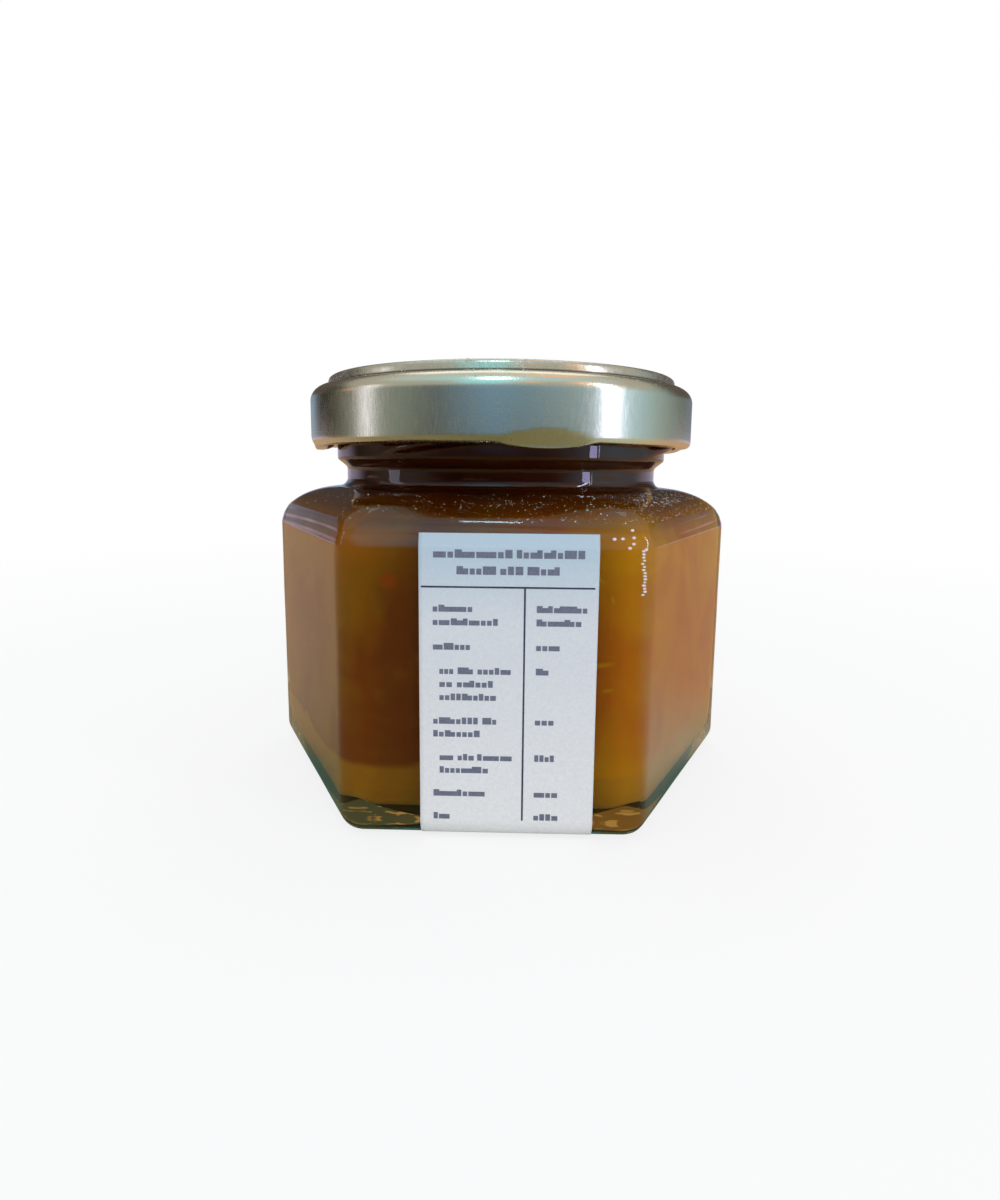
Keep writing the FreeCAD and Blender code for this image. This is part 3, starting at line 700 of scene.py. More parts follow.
class JarSettings(bpy.types.PropertyGroup):
    """Sizes and tint of the glass. Its overall size comes from the frame."""
    wall: length("Wall", "Glass at the faces, shoulder and neck", GLASS_HIGH.y - JAM_HIGH.y)
    edge_radius: length("Edge radius", "Outside bend of the upright edges", 4.0 * MM)
    heel_radius: length("Heel radius", "Bend where the faces turn under", 3.2 * MM)
    inner_edge_radius: length("Inner edge radius", "Bend of the edges inside", 6.0 * MM)
    inner_heel_radius: length("Inner heel radius", "Bend between walls and floor inside", 4.5 * MM)
    push_up_radius: length("Push-up radius", "Edge of the dome under the base", 27.0 * MM)
    push_up_depth: length("Push-up depth", "Height of the dome under the base", 1.2 * MM)
    body_height: length("Body height", "Table to the top of the upright faces", 41.0 * MM)
    shoulder_rise: length("Shoulder rise", "Top of the faces to the root of the neck", 6.9 * MM)
    neck_radius: length("Neck radius", "Waist between shoulder and bead", 27.2 * MM)
    neck_root_radius: length("Neck root radius", "Hollow where the neck leaves the shoulder", 1.5 * MM)
    bead_foot: length("Bead foot", "Height of the slope under the bead", 51.2 * MM)
    bead_slope: length("Bead slope", "How high the bead's slope rises", 1.3 * MM)
    finish_radius: length("Finish radius", "Bead and wall above it", 28.8 * MM)
    rim_edge: length("Rim edge", "Outside bend of the rim", 1.2 * MM)
    mouth_edge: length("Mouth edge", "Inside bend of the rim", 0.5 * MM)
    mouth_radius: length("Mouth radius", "Inside of the rim", 25.8 * MM)
    flare_foot: length("Flare foot", "Height where the bore starts to open out", 52.0 * MM)
    flare_top: length("Flare top", "Height where it reaches the mouth's radius", 56.0 * MM)
    flare_bend: length("Flare bend", "Bends at the foot and the top of the flare", 2.0 * MM)
    thread_crest: length("Thread crest", "Largest radius of a thread", 30.6 * MM)
    thread_height: length("Thread height", "Width of a thread, up and down", 1.7 * MM)
    thread_lead: length("Thread lead", "Rise of a thread over a whole turn", 20.7 * MM)
    thread_underside: length("Thread underside", "Height of a thread's underside at its middle", 55.2 * MM)
    thread_span: angle("Thread span", "Turn that one thread takes up", 80.0)
    thread_middle: angle("Thread middle", "Azimuth of the front thread's middle", 4.0)
    bevel_height: length("Bevel height", "Height of the straight bevel at the shoulder's foot", 3.5 * MM)
    bevel_bend: length("Bevel bend", "Bends below and above that bevel", 1.6 * MM)
    fold: length("Fold", "Depth of the level waves on the shoulder's bevel", 0.03 * MM)
    seam: length("Seam", "Height of the mould's seam on two edges", 0.06 * MM)
    seam_place: angle("Seam place", "Azimuth of the edge with the seam", 30.6)
    ripple: length("Ripple", "Depth of the ripples round the neck's root", 0.05 * MM)
    waves: length("Waves", "Depth of the faint unevenness of the outside", 0.03 * MM)
    per_half_face: IntProperty(name="Columns", description="Grid columns across half a face",
                               default=21, min=8)
    tint: colour("Tint", "What the glass lets through where it is thick", "#8fd9bf")
    tint_density: FloatProperty(name="Tint density", description="How fast the tint deepens, per metre",
                                default=22.0, min=0.0)


class JamSettings(bpy.types.PropertyGroup):
    """Fill and colours of the jam."""
    overlap: length("Overlap", "How far the jam reaches into the glass wall", 0.15 * MM)
    sunk: length("Sunk", "How far the middle of its surface is sunk", 1.0 * MM)
    # The ramp from deep to light follows painted light and random clouds: deep and brown on the painted
    # shaded side, gold and light on the painted lit side.
    deep: colour("Deep", "Thick jam, seen through its whole depth", "#7c2c00")
    brown: colour("Brown", "Jam with a little light in it", "#884000")
    olive: colour("Olive", "Thin jam on the shaded side", "#9a5f00")
    gold: colour("Gold", "Jam with light coming through", "#c06600")
    light: colour("Light", "Thin jam on the bright side", "#cf8a00")
    # Painted shade of the cap.
    neck: colour("Neck", "Jam in the shade of the cap", "#460f00")
    # Painted light from below, low in the jam.
    band: colour("Band", "Thin jam over the floor", "#b67c14")
    strand: colour("Strand", "Paler fibres", "#e0ac10")
    shred: colour("Shred", "A shred of pumpkin close to the glass", "#c84c00")


class CapSettings(bpy.types.PropertyGroup):
    """Sizes and finish of the cap. Its radius and heights come from the frame."""
    sheet: length("Sheet", "Thickness of the metal", 0.2 * MM)
    ledge: length("Ledge", "Height of the ledge outside the sealing ring", 64.3 * MM)
    shoulder_bend: length("Shoulder bend", "Bend between skirt and ledge", 2.4 * MM)
    ring_radius: length("Ring radius", "Outside of the raised sealing ring", 29.9 * MM)
    ring_bend: length("Ring bend", "Bends of the sealing ring", 0.7 * MM)
    panel_radius: length("Panel radius", "Where the ring drops to the middle panel", 25.0 * MM)
    panel_depth: length("Panel depth", "How far the middle panel is sunk", 1.0 * MM)
    curl_size: length("Curl size", "Height and width of the rolled rim", 2.1 * MM)
    curl_bend: length("Curl bend", "Bends of the rolled rim", 0.98 * MM)
    lug_drop: length("Lug drop", "How far a lug hangs below the rim", 0.6 * MM)
    lug_reach: length("Lug reach", "How far a lug reaches in under its thread", 1.5 * MM)
    facet_top: length("Facet top", "Top of the flat pressed outside each lug", 56.2 * MM)
    facet_slope: length("Facet slope", "Height over which that flat leans in", 1.2 * MM)
    lug_span: angle("Lug span", "Width of a lug", 25.8)
    lug_middle: angle("Lug middle", "Azimuth of the front lug's middle", 12.4)
    columns: IntProperty(name="Columns", description="Grid columns round the cap", default=354, min=60)
    roughness: FloatProperty(name="Roughness", description="Blur of the satin lacquer", default=0.24)
    dustiness: FloatProperty(name="Dust film", description="Cover of dust on the top of the cap", default=0.4)
    lacquer: colour("Lacquer", "Tone of the champagne lacquer", "#dcd6c2")


class LabelSettings(bpy.types.PropertyGroup):
    """Layout and colours of the label, from its top left corner."""
    thickness: length("Thickness", "Paper and glue", -LABEL_LOW.y - GLASS_HIGH.y)
    heading: length("Heading", "Height of the heading field", 7.2 * MM)
    column: length("Column", "Left edge to the upright rule", 13.9 * MM)
    rule: length("Rule", "Thickness of the rules", 0.24 * MM)
    first_line: length("First line", "From the top edge, or from the rule, to the line below it", 3.3 * MM)
    heading_pitch: length("Heading pitch", "Step between the heading's lines", 2.2 * MM)
    indent: length("Indent", "Left edge to the lines of a group", 1.85 * MM)
    deep_indent: length("Deep indent", "Left edge to lines that stand further in", 2.7 * MM)
    right_indent: length("Right indent", "Upright rule to the lines on its right", 1.7 * MM)
    line_pitch: length("Line pitch", "Step between lines of a group", 1.82 * MM)
    group_gap: length("Group gap", "Step between groups of lines", 3.35 * MM)
    letter: length("Letter", "Height of the small marks", 0.84 * MM)
    paper: colour("Paper", "Coated paper", "#dedfde")
    # Painted light thrown up from the table, towards the foot.
    painted_foot_light: colour("Foot tint", "Lighter paper towards the foot", "#f2f0ea")
    # Painted cool reflection towards the top edge, over the heading.
    painted_cool_reflection: colour("Heading tint", "Field above the rule, at its top", "#b8cbd4")
    ink: colour("Ink", "Rules at full cover", "#20243a")
    ink_thin: colour("Thin ink", "Rules where the toner is thin", "#4a4f66")
    screen: colour("Screen", "Blocks for words, at full cover", "#5d6274")
    screen_thin: colour("Thin screen", "Blocks for words where the toner is thin", "#7d8292")


class DustSettings(bpy.types.PropertyGroup):
    """Grains on the shoulder and the cap, and dried drops on one edge."""
    shoulder_grains: IntProperty(name="Shoulder grains", description="Grains on the glass shoulder",
                                 default=1500)
    middle: angle("Middle", "Azimuth where the shoulder's dust lies thickest", 48.0)
    spread: angle("Spread", "How far round the jar the shoulder's dust spreads", 42.0)
    cap_grains: IntProperty(name="Cap grains", description="Grains on the cap's ring and ledge", default=1500)
    grain: length("Grain", "Usual half width of a grain", 0.06 * MM)
    run_drops: IntProperty(name="Drops in the run", description="Dried drops down the edge", default=15)
    run: length("Run", "Length of the run of drops", 5.8 * MM)
    run_place: angle("Run place", "Azimuth of the run, just before the edge", 29.3)
    loose_drops: IntProperty(name="Loose drops", description="Dried drops on the shoulder above", default=7)
    drop: length("Drop", "Usual radius of a dried drop", 0.22 * MM)


class StageSettings(bpy.types.PropertyGroup):
    """Camera, lamps and surroundings."""
    distance: length("Camera distance", "From the jar's axis to the camera", 119.8 * MM)
    height: length("Camera height", "Camera above the table", 52.07 * MM)
    pitch: angle("Camera pitch", "How far the camera looks down", 7.62)
    turn: angle("Camera turn", "How far it stands and looks round the jar", 1.26)
    roll: angle("Camera roll", "How far the view leans", 0.52)
    lens: FloatProperty(name="Lens", description="Focal length on a 36 mm frame", default=19.58)
    shift: FloatProperty(name="Shift", description="Upright shift of the view, as a share of it",
                         default=-0.0417)
    ambient: FloatProperty(name="Ambient", description="Level of the even light from all round", default=0.95)


# ---- Operators: one for each piece or group of like pieces ----

class JAR_OT_glass(bpy.types.Operator):
    """Build the glass: one closed surface from under the base, over the rim and down to the floor inside"""
    bl_idname = "jam_jar.glass"
    bl_label = "Glass jar"

    def execute(self, context):
        jar = context.scene.jam_jar_glass
        azimuth = hexagon_azimuths(jar.per_half_face)
        rows = glass_rows(jar)
        height = rows[:, 2, None]
        outside = np.arange(len(rows))[:, None] < np.argmax(rows[:, 2])
        above_bead = height > jar.bead_foot + jar.bead_slope
        swell = outside * (thread_swell(azimuth, height, jar) * above_bead
                           + pressed_unevenness(azimuth, height, jar.waves)
                           + root_ripple(azimuth, height, jar) + mould_seam(azimuth, jar)
                           + shoulder_folds(azimuth, height, jar))
        piece = ring_piece("glass_jar", rings(azimuth, rows, swell), soda_lime_glass(jar))
        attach(piece, "root")
        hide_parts("jar_glass")
        return {"FINISHED"}


class JAR_OT_jam(bpy.types.Operator):
    """Fill the glass with jam that reaches just into its wall"""
    bl_idname = "jam_jar.jam"
    bl_label = "Jam"

    def execute(self, context):
        jar, jam = context.scene.jam_jar_glass, context.scene.jam_jar_jam
        points = rings(hexagon_azimuths(jar.per_half_face), jam_rows(jar, jam.overlap, jam.sunk))
        piece = ring_piece("jam_fill", points, pumpkin_jam(jam))
        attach(piece, "root")
        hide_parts("jam")
        return {"FINISHED"}


class JAR_OT_cap(bpy.types.Operator):
    """Build the twist-off cap from one sheet, with its ring, skirt, rolled rim and pressed lugs"""
    bl_idname = "jam_jar.cap"
    bl_label = "Cap"

    def execute(self, context):
        cap = context.scene.jam_jar_cap
        azimuth = mixed(0, 2 * math.pi, cap.columns)
        piece = ring_piece("cap", cap_points(azimuth, cap), lacquered_tinplate(cap), open_start=True)
        sheet = piece.modifiers.new("sheet", "SOLIDIFY")
        sheet.thickness = cap.sheet
        sheet.offset = -1
        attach(piece, "root")
        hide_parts("lid")
        return {"FINISHED"}


class JAR_OT_compound(bpy.types.Operator):
    """Give the ring of sealing compound inside the cap its finish"""
    bl_idname = "jam_jar.compound"
    bl_label = "Sealing compound"

    def execute(self, context):
        finish = plastisol()
        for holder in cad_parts["gasket"].material_slots:
            holder.material = finish
        return {"FINISHED"}


class JAR_OT_label(bpy.types.Operator):
    """Lay the label over the front face, from the heel to the shoulder"""
    bl_idname = "jam_jar.label"
    bl_label = "Label"

    def execute(self, context):
        jar, label = context.scene.jam_jar_glass, context.scene.jam_jar_label
        depth, height = label_line(jar, label.thickness, 96)
        across = np.linspace(LABEL_LOW.x, LABEL_HIGH.x, 40)
        across, up = np.meshgrid(across, height)
        # Paper lies with a faint wave on its glue, some 15 mm from crest to crest.
        wave = 0.012 * MM * np.sin(420 * across + 260 * up)
        points = np.stack([across, -(depth[:, None] + wave), up], axis=-1)
        faces = grid_faces(*up.shape, closed=False).tolist()
        piece = new_piece("label_paper", points, faces, coated_paper(label))
        sheet = piece.modifiers.new("paper", "SOLIDIFY")
        sheet.thickness = label.thickness * 0.8
        sheet.offset = -1
        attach(piece, "root")
        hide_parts("label")
        return {"FINISHED"}


class JAR_OT_print(bpy.types.Operator):
    """Print the label: a heading, two rules and groups of lines, all as plain bars"""
    bl_idname = "jam_jar.print"
    bl_label = "Label print"

    # The space between words is a share of the height of a mark, and the heading's marks are larger by
    # a factor. Word lengths in millimetres: the heading's two lines, then for each group its left lines,
    # whether they stand further in, and its right lines.
    space = 0.55
    enlarged = 1.2
    heading = ((10.4, 8.9), (5.2, 3.0, 4.4))
    groups = ((((5.4,), (8.8,)), False, ((6.8,), (5.9,))), (((5.1,),), False, ((3.3,),)),
              (((2.0, 2.2, 4.6), (1.9, 5.0), (7.6,)), True, ((1.9,),)),
              (((6.2, 2.0), (6.3,)), False, ((2.7,),)), (((2.0, 2.2, 4.7), (6.6,)), True, ((2.8,),)),
              (((7.2,),), False, ((3.2,),)), (((2.2,),), False, ((3.3,),)))

    def words(self, left, base, lengths, letter, rng):
        """The blocks of a line of words, with a space between them."""
        blocks = []
        for size in lengths:
            blocks.append(word_blocks(left, base, size * MM, letter, rng))
            left += size * MM + self.space * letter
        return blocks

    def execute(self, context):
        jar, label = context.scene.jam_jar_glass, context.scene.jam_jar_label
        rng = np.random.default_rng(11)
        left, right, top = LABEL_LOW.x, LABEL_HIGH.x, LABEL_HIGH.z
        rule_height = top - label.heading
        column = left + label.column
        rules = [(left + 0.3 * MM, right - 0.5 * MM, rule_height, rule_height + label.rule),
                 (column, column + label.rule, GLASS_LOW.z + jar.heel_radius, rule_height)]
        bars = []
        large = label.letter * self.enlarged
        for number, lengths in enumerate(self.heading):
            wide = sum(lengths) * MM + (len(lengths) - 1) * self.space * large
            base = top - label.first_line - number * label.heading_pitch
            bars += self.words((left + right - wide) / 2, base, lengths, large, rng)
        base = rule_height - label.first_line
        for left_lines, stands_in, right_lines in self.groups:
            start = left + (label.deep_indent if stands_in else label.indent)
            for place, lines in ((start, left_lines), (column + label.right_indent, right_lines)):
                for number, lengths in enumerate(lines):
                    bars += self.words(place, base - number * label.line_pitch, lengths, label.letter, rng)
            base -= (len(left_lines) - 1) * label.line_pitch + label.group_gap
        # The print reaches just into the paper and stands 0.02 mm proud of it, more than toner does.
        face = -(GLASS_HIGH.y + label.thickness) + 0.005 * MM
        for name, shapes, finish in (
                ("label_rules", rules, toner("slate_toner_rules", label.ink, label.ink_thin)),
                ("label_print", np.concatenate(bars),
                 toner("slate_toner_screen", label.screen, label.screen_thin))):
            points, faces = flat_bars(shapes, face, 0.025 * MM)
            piece = new_piece(name, points, faces, finish, smooth=False)
            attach(piece, "root")
        return {"FINISHED"}


class JAR_OT_dust(bpy.types.Operator):
    """Scatter dust over the glass shoulder and the top of the cap"""
    bl_idname = "jam_jar.dust"
    bl_label = "Dust"

    def execute(self, context):
        scene = context.scene
        jar, cap, dust = scene.jam_jar_glass, scene.jam_jar_cap, scene.jam_jar_dust
        rng = np.random.default_rng(5)
        # On the shoulder the grains lie from the upper part of the bevel on, where it flattens.
        azimuth = rng.normal(dust.middle, dust.spread, dust.shoulder_grains)
        share = 0.38 + 0.6 * rng.random(dust.shoulder_grains)
        sizes = dust.grain * np.exp(rng.normal(-0.2, 0.45, dust.shoulder_grains))
        places, normals = on_shoulder(azimuth, share, jar, 0.02 * MM)
        points, faces = scattered_grains(places, normals, sizes, rng)
        piece = new_piece("shoulder_dust", points, faces, house_dust(), smooth=False)
        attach(piece, "root")
        # On the cap, half of the grains lie on the bend of the ledge and half cling to the ring's wall.
        # They lie closest together at the front and the back, where the sine gathers the azimuths.
        count = dust.cap_grains
        azimuth = rng.random(count) * 2 * math.pi
        azimuth = azimuth - 0.75 * np.sin(2 * azimuth)
        share = rng.random(count)
        on_ledge = rng.random(count)[:, None] < 0.5
        lift = rng.random(count)
        wall = polar(azimuth, cap.ring_radius + 0.3 * MM * (1 - lift),
                     cap.ledge + lift * (LID_HIGH.z - cap.ledge))
        turn = math.pi / 2 * (0.35 + 0.65 * share)
        bend = cap.shoulder_bend
        ledge = polar(azimuth, LID_HIGH.x - bend + bend * np.cos(turn),
                      cap.ledge - bend + bend * np.sin(turn))
        normals = np.where(on_ledge, polar(azimuth, np.cos(turn), np.sin(turn)), polar(azimuth, 1, 0))
        sizes = dust.grain * np.exp(rng.normal(-0.4, 0.4, count))
        points, faces = scattered_grains(np.where(on_ledge, ledge, wall), normals, sizes, rng)
        piece = new_piece("cap_dust", points, faces, bpy.data.materials["house_dust_grains"], smooth=False)
        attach(piece, "root")
        return {"FINISHED"}


class JAR_OT_drops(bpy.types.Operator):
    """Set a run of dried drops down the right front edge, and a few on the shoulder above it"""
    bl_idname = "jam_jar.drops"
    bl_label = "Dried drops"

    def execute(self, context):
        scene = context.scene
        jar, dust = scene.jam_jar_glass, scene.jam_jar_dust
        rng = np.random.default_rng(8)
        count, loose = dust.run_drops, dust.loose_drops
        height = jar.body_height - 0.2 * MM - np.linspace(0, dust.run, count)
        azimuth = dust.run_place + rng.normal(0, math.radians(0.18), count)
        run = polar(azimuth, hexagon_radius(azimuth, GLASS_HIGH.y, jar.edge_radius), height)
        share = 0.08 + 0.25 * rng.random(loose)
        above, _ = on_shoulder(np.radians(24 + 9 * rng.random(loose)), share, jar, 0)
        # The drops are widest from left to right, and those of the run are flatter than the loose ones.
        sizes = dust.drop * (0.9 + 0.3 * rng.random((count + loose, 1))) * np.array([[1.1, 0.8, 0.85]])
        sizes[:count, 2] *= 0.75
        points, faces = beads(np.concatenate([run, above]), sizes)
        piece = new_piece("dried_drops", points, faces, dried_drops())
        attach(piece, "root")
        return {"FINISHED"}


class JAR_OT_stage(bpy.types.Operator):
    """Set up the pale floor, the soft studio light, the surroundings that gloss reflects, and the camera"""
    bl_idname = "jam_jar.stage"
    bl_label = "Stage"

    def sight(self, tree, path):
        """One where gloss or glass shows the surroundings to the eye, and nought once light has
        bounced off something matt, so that what lies behind glass is lit by the even light."""
        sharp = add_node(tree, "ShaderNodeMath", {
            0: path.outputs["Is Glossy Ray"], 1: path.outputs["Is Transmission Ray"]}, operation="MAXIMUM")
        first = add_node(tree, "ShaderNodeMath", {0: path.outputs["Diffuse Depth"], 1: 0.5},
                         operation="LESS_THAN")
        return add_node(tree, "ShaderNodeMath", {0: sharp, 1: first}, operation="MULTIPLY")

    def around(self, tree, spot, tones):
        """A colour by the azimuth of a place, through (azimuth in degrees, colour) tones."""
        across, deep, _ = add_node(tree, "ShaderNodeSeparateXYZ", {0: spot}).outputs
        front = add_node(tree, "ShaderNodeMath", {0: deep, 1: -1.0}, operation="MULTIPLY")
        turn = add_node(tree, "ShaderNodeMath", {0: across, 1: front}, operation="ARCTAN2")
        share = add_node(tree, "ShaderNodeMapRange", {0: turn, 1: -math.pi, 2: math.pi})
        return add_node(tree, "ShaderNodeValToRGB", {0: share}, stops=[
            ((degrees + 180) / 360, srgb(tone)) for degrees, tone in tones])

    def world(self, stage):
        """A white surround for the eye, and an even cool light for all that is matt."""
        world = bpy.data.worlds.new("pale_surround")
        world.use_nodes = True
        tree = world.node_tree
        tree.nodes.clear()
        path = add_node(tree, "ShaderNodeLightPath")
        seen = add_node(tree, "ShaderNodeMath", {
            0: path.outputs["Is Camera Ray"], 1: self.sight(tree, path)}, operation="MAXIMUM")
        even = add_node(tree, "ShaderNodeBackground", {0: srgb("#eef2fb"), 1: stage.ambient})
        white = add_node(tree, "ShaderNodeBackground", {0: srgb("#ffffff"), 1: 1.0})
        both = add_node(tree, "ShaderNodeMixShader", {0: seen, 1: even, 2: white})
        add_node(tree, "ShaderNodeOutputWorld", {"Surface": both})
        bpy.context.scene.world = world

    def floor(self):
        """A wide pale floor that the eye sees as nearly white, with the jar's shadow left in it. Gloss
        and glass see a table instead, dim before the jar, warm beside and behind it, and under it a painted
        shadow with painted jam light, painted glints and a painted green ring of glass light."""
        material, tree, spot = new_material("pale_matt_floor")
        path = add_node(tree, "ShaderNodeLightPath")
        across = add_node(tree, "ShaderNodeSeparateXYZ", {0: spot}).outputs[0]
        reach = add_node(tree, "ShaderNodeVectorMath", {0: spot}, operation="LENGTH")
        grain = add_node(tree, "ShaderNodeTexNoise", {
            "Vector": spot, "Scale": 1 / (2.08 * MM), "Detail": 1.0})
        # Each share goes from its least to one between two places on a source: far from the jar, where
        # the floor is seen white; in the glints; outside the jam light; and outside the jar altogether.
        far, glints, green, clear = (
            add_node(tree, "ShaderNodeMapRange", {0: source, 1: start, 2: end, 3: least},
                     interpolation_type="SMOOTHSTEP")
            for source, start, end, least in (
                (reach, 60 * MM, 400 * MM, 0.8), (grain, 0.56, 0.68, 0),
                (reach, 32.5 * MM, 33.5 * MM, 0), (reach, 34.5 * MM, 42 * MM, 0)))
        table = self.around(tree, spot, (
            (-180, "#c2a284"), (-128, "#cbad8e"), (-100, "#b8a284"), (-60, "#8e8665"), (0, "#7c764b"),
            (35, "#8b8665"), (60, "#c4d1c2"), (85, "#cbc8b1"), (108, "#d7af8e"), (180, "#c8a684")))
        side = add_node(tree, "ShaderNodeMapRange", {0: across, 1: -16 * MM, 2: 14 * MM})
        # Under the jar, all painted: a shadow, jam light with glints two millimetres apart, and a green ring
        # of glass light.
        # Painted shadow: the darkest tone, right under the jar.
        tone = srgb("#453f27")
        for share, layer in ((side, srgb("#764b19")), (glints, srgb("#aa7938")), (green, srgb("#507c6f")),
                             (clear, table)):
            tone = add_node(tree, "ShaderNodeMix", {0: share, 6: tone, 7: layer}, data_type="RGBA")
        table_and_painted_light = add_node(tree, "ShaderNodeEmission", {"Color": tone, "Strength": 1.0})
        cover = add_node(tree, "ShaderNodeMath", {0: path.outputs["Is Camera Ray"], 1: far},
                         operation="MULTIPLY")
        matt = add_node(tree, "ShaderNodeBsdfDiffuse", {"Color": srgb("#e9e7e2")})
        white = add_node(tree, "ShaderNodeEmission", {"Color": srgb("#ffffff"), "Strength": 1.0})
        both = add_node(tree, "ShaderNodeMixShader", {0: cover, 1: matt, 2: white})
        shader = add_node(tree, "ShaderNodeMixShader", {0: self.sight(tree, path), 1: both, 2: table_and_painted_light})
        add_node(tree, "ShaderNodeOutputMaterial", {"Surface": shader})
        points = 4.0 * np.array([(-1, -1, 0), (1, -1, 0), (1, 1, 0), (-1, 1, 0)])
        floor = new_piece("floor", points, [(0, 1, 2, 3)], material, smooth=False)

    def tent(self):
        """What gloss and glass see of the room: panels of different tones round the jar, a grey-beige
        wall above them and a pale roof over that, gloom above a low band of window light behind, and
        five coloured lamps. It is a half ball, by azimuth and elevation."""
        material, tree, spot = new_material("toned_light_tent")
        radius = 1.8
        _, deep, up = add_node(tree, "ShaderNodeSeparateXYZ", {0: spot}).outputs
        rear = add_node(tree, "ShaderNodeMath", {0: deep, 1: 0.0}, operation="MAXIMUM")
        skyline = add_node(tree, "ShaderNodeMath", {0: rear, 1: -0.65, 2: up}, operation="MULTIPLY_ADD")
        # Each share goes from nought to one between two places, in metres, along a source. The skyline
        # is the height less 0.65 of the way behind the jar, so that the wall reaches higher there.
        over, behind, before, upper, low, foot, middle, high = (
            add_node(tree, "ShaderNodeMapRange", {0: source, 1: start, 2: end},
                     interpolation_type="SMOOTHSTEP")
            for source, start, end in (
                (deep, -1.3, 0.2), (deep, 0.5, 1.1), (deep, -0.9, -1.5), (up, 0.28, 0.42),
                (up, 0.14, 0.06), (up, 0.16, 0.04), (skyline, 0.45, 0.70), (skyline, 1.15, 1.38)))
        gloom, band, dim = (
            add_node(tree, "ShaderNodeMath", {0: first, 1: second}, operation="MULTIPLY")
            for first, second in ((behind, upper), (behind, low), (before, foot)))
        roof = add_node(tree, "ShaderNodeMix", {0: over, 6: srgb("#b3ecff"), 7: srgb("#ced8d7")},
                        data_type="RGBA")
        layers = [(gloom, srgb("#59504b")), (middle, srgb("#bcbab1")), (high, roof), (band, srgb("#dacee7")),
                  (dim, srgb("#272724"))]
        # The lamps are somewhat brighter than white.
        amber = tuple(1.25 * part for part in srgb("#ffc092"))
        cyan = tuple(1.2 * part for part in srgb("#9cebff"))
        # Each lamp: azimuth and elevation in degrees, radius in metres, and colour.
        for azimuth, elevation, size, tone in (
                (-94, 16, 0.16, amber), (84, 74, 0.4, amber), (-8, 38, 0.60, cyan), (20, 38, 0.20, amber),
                (56, 36, 0.36, amber)):
            lift = math.radians(elevation)
            centre = polar(math.radians(azimuth), radius * math.cos(lift), radius * math.sin(lift))
            off = add_node(tree, "ShaderNodeVectorMath", {0: spot, 1: centre}, operation="DISTANCE")
            glow = add_node(tree, "ShaderNodeMapRange", {0: off, 1: size, 2: size / 2},
                            interpolation_type="SMOOTHSTEP")
            layers.append((glow, tone))
        seen = self.around(tree, spot, (
            (-180, "#90a6bf"), (-142, "#99b1cb"), (-128, "#272719"), (-112, "#303027"), (-78, "#89938b"),
            (-55, "#819090"), (-35, "#616f79"), (-4, "#7caad7"), (14, "#7ca2c2"), (35, "#95b5c8"),
            (50, "#95b1c2"), (80, "#b5dff8"), (100, "#a2b8bc"), (127, "#6c7976"), (150, "#7c8699")))
        for share, tone in layers:
            seen = add_node(tree, "ShaderNodeMix", {0: share, 6: seen, 7: tone}, data_type="RGBA")
        room = add_node(tree, "ShaderNodeEmission", {"Color": seen, "Strength": 1.0})
        through = add_node(tree, "ShaderNodeBsdfTransparent")
        path = add_node(tree, "ShaderNodeLightPath")
        shader = add_node(tree, "ShaderNodeMixShader", {0: self.sight(tree, path), 1: through, 2: room})
        add_node(tree, "ShaderNodeOutputMaterial", {"Surface": shader})
        material.cycles.emission_sampling = "NONE"
        rows, columns = 24, 64
        rise = np.linspace(-0.1, math.pi / 2 - 0.01, rows)[:, None]
        azimuth = mixed(0, 2 * math.pi, columns)
        points = polar(azimuth, radius * np.cos(rise), radius * np.sin(rise))
        piece = new_piece("light_tent", points, grid_faces(rows, columns).tolist(), material)
        piece.visible_camera = False
        piece.visible_diffuse = False
        piece.visible_volume_scatter = False
        piece.visible_shadow = False

    def lamp(self, name, azimuth, elevation, distance, width, tall, radiance, tone):
        """A soft rectangular lamp that faces the jar's middle, set by azimuth and elevation in degrees.
        Its power follows from the wanted radiance: radiance times pi times area."""
        light = bpy.data.lights.new(name, "AREA")
        light.shape = "RECTANGLE"
        light.size = width
        light.size_y = tall
        light.energy = radiance * math.pi * width * tall
        light.color = srgb(tone)[:3]
        lamp = bpy.data.objects.new(name, light)
        lift = math.radians(elevation)
        aim = Vector(polar(math.radians(azimuth), math.cos(lift), math.sin(lift)))
        lamp.location = Vector((0, 0, 40 * MM)) + aim * distance
        lamp.rotation_euler = aim.to_track_quat("Z", "Y").to_euler()
        lamp.visible_camera = False
        bpy.context.scene.collection.objects.link(lamp)

    def camera(self, stage):
        """The camera stands a little to the right of the front face's middle and looks slightly down."""
        data = bpy.data.cameras.new("camera")
        data.lens = stage.lens
        data.shift_y = stage.shift
        data.clip_start = 5 * MM
        camera = bpy.data.objects.new("camera", data)
        camera.matrix_world = (Matrix.Translation(polar(stage.turn, stage.distance, stage.height))
                               @ Matrix.Rotation(stage.turn, 4, "Z")
                               @ Matrix.Rotation(math.pi / 2 - stage.pitch, 4, "X")
                               @ Matrix.Rotation(stage.roll, 4, "Z"))
        bpy.context.scene.collection.objects.link(camera)
        bpy.context.scene.camera = camera

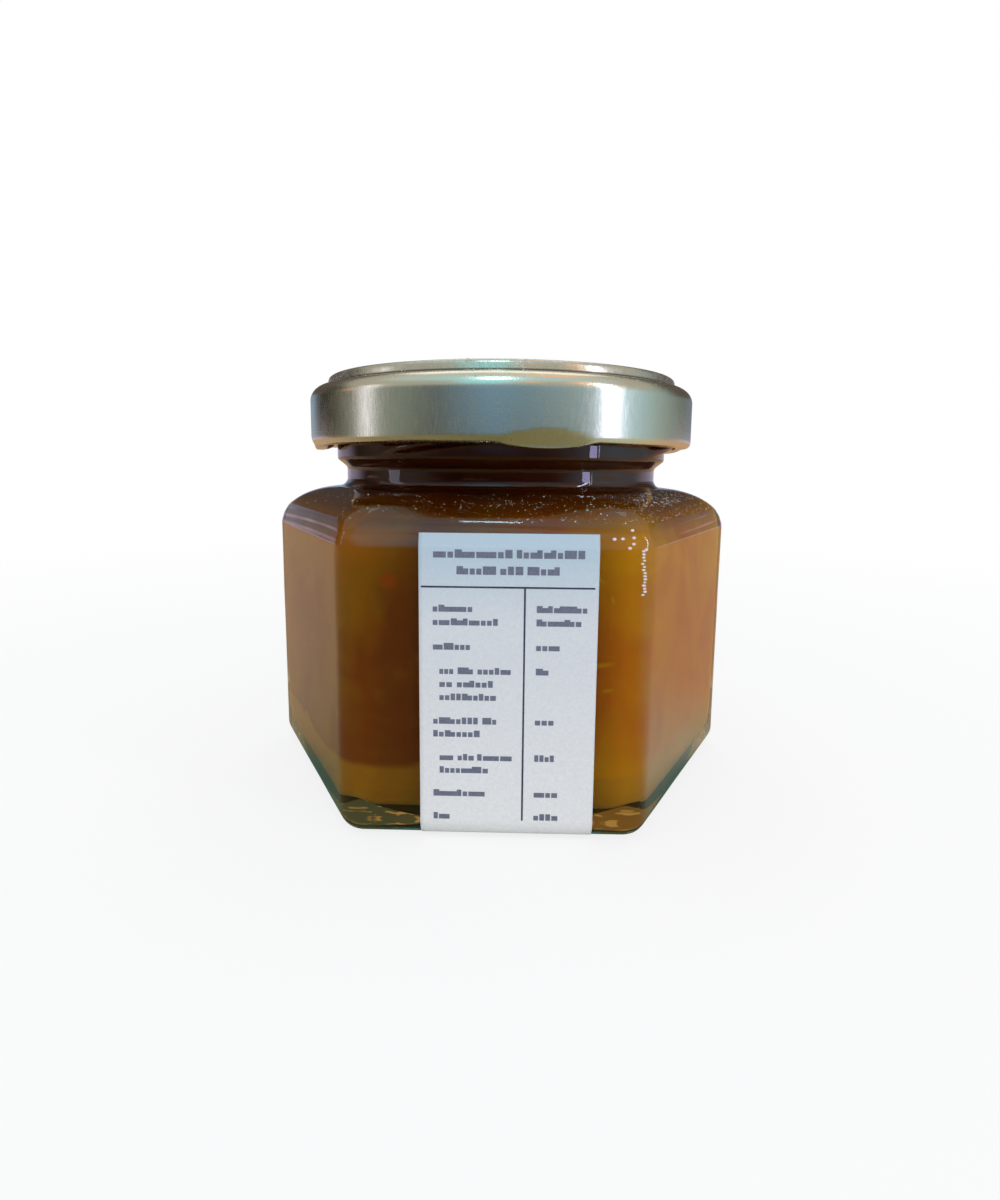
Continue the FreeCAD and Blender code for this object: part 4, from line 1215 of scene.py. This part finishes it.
    def execute(self, context):
        stage = context.scene.jam_jar_stage
        context.scene.view_settings.view_transform = "Standard"
        self.world(stage)
        self.floor()
        self.tent()
        # Each lamp: azimuth and elevation in degrees, distance, width and height in metres, radiance.
        self.lamp("right_window", 63, 21, 0.6, 0.035, 0.36, 14.0, "#dce6ff")
        self.lamp("skylight", -4, 58, 0.6, 0.06, 0.11, 16.0, "#d4f2ff")
        self.lamp("left_window", -78, 12, 0.7, 0.12, 0.40, 1.6, "#dcdcf4")
        self.lamp("low_window", 63, 0.5, 0.6, 0.08, 0.07, 7.0, "#cfc8ff")
        self.lamp("overhead", 180, 62, 0.9, 0.7, 0.35, 1.15, "#f0ebe8")
        self.camera(stage)
        return {"FINISHED"}


class JAR_PT_panel(bpy.types.Panel):
    """The sidebar panel that lists the operators"""
    bl_idname = "JAR_PT_panel"
    bl_label = "Jam jar"
    bl_space_type = "VIEW_3D"
    bl_region_type = "UI"
    bl_category = "Jam jar"

    def draw(self, context):
        for operator in OPERATORS:
            self.layout.operator(operator.bl_idname)


OPERATORS = (JAR_OT_glass, JAR_OT_jam, JAR_OT_cap, JAR_OT_compound, JAR_OT_label, JAR_OT_print, JAR_OT_dust,
             JAR_OT_drops, JAR_OT_stage)
GROUPS = {"jam_jar_glass": JarSettings, "jam_jar_jam": JamSettings, "jam_jar_cap": CapSettings,
          "jam_jar_label": LabelSettings, "jam_jar_dust": DustSettings, "jam_jar_stage": StageSettings}


def register():
    """Make the settings, operators and panel known, and hang each group of settings on the scene."""
    for kind in (*GROUPS.values(), *OPERATORS, JAR_PT_panel):
        bpy.utils.register_class(kind)
    for name, group in GROUPS.items():
        setattr(bpy.types.Scene, name, PointerProperty(type=group))


def unregister():
    """Take them all back."""
    for name in GROUPS:
        delattr(bpy.types.Scene, name)
    for kind in (JAR_PT_panel, *OPERATORS[::-1], *list(GROUPS.values())[::-1]):
        bpy.utils.unregister_class(kind)


def main():
    """Build everything in order."""
    register()
    for operator in OPERATORS:
        group, name = operator.bl_idname.split(".")
        getattr(getattr(bpy.ops, group), name)()


if __name__ == "__main__":
    main()
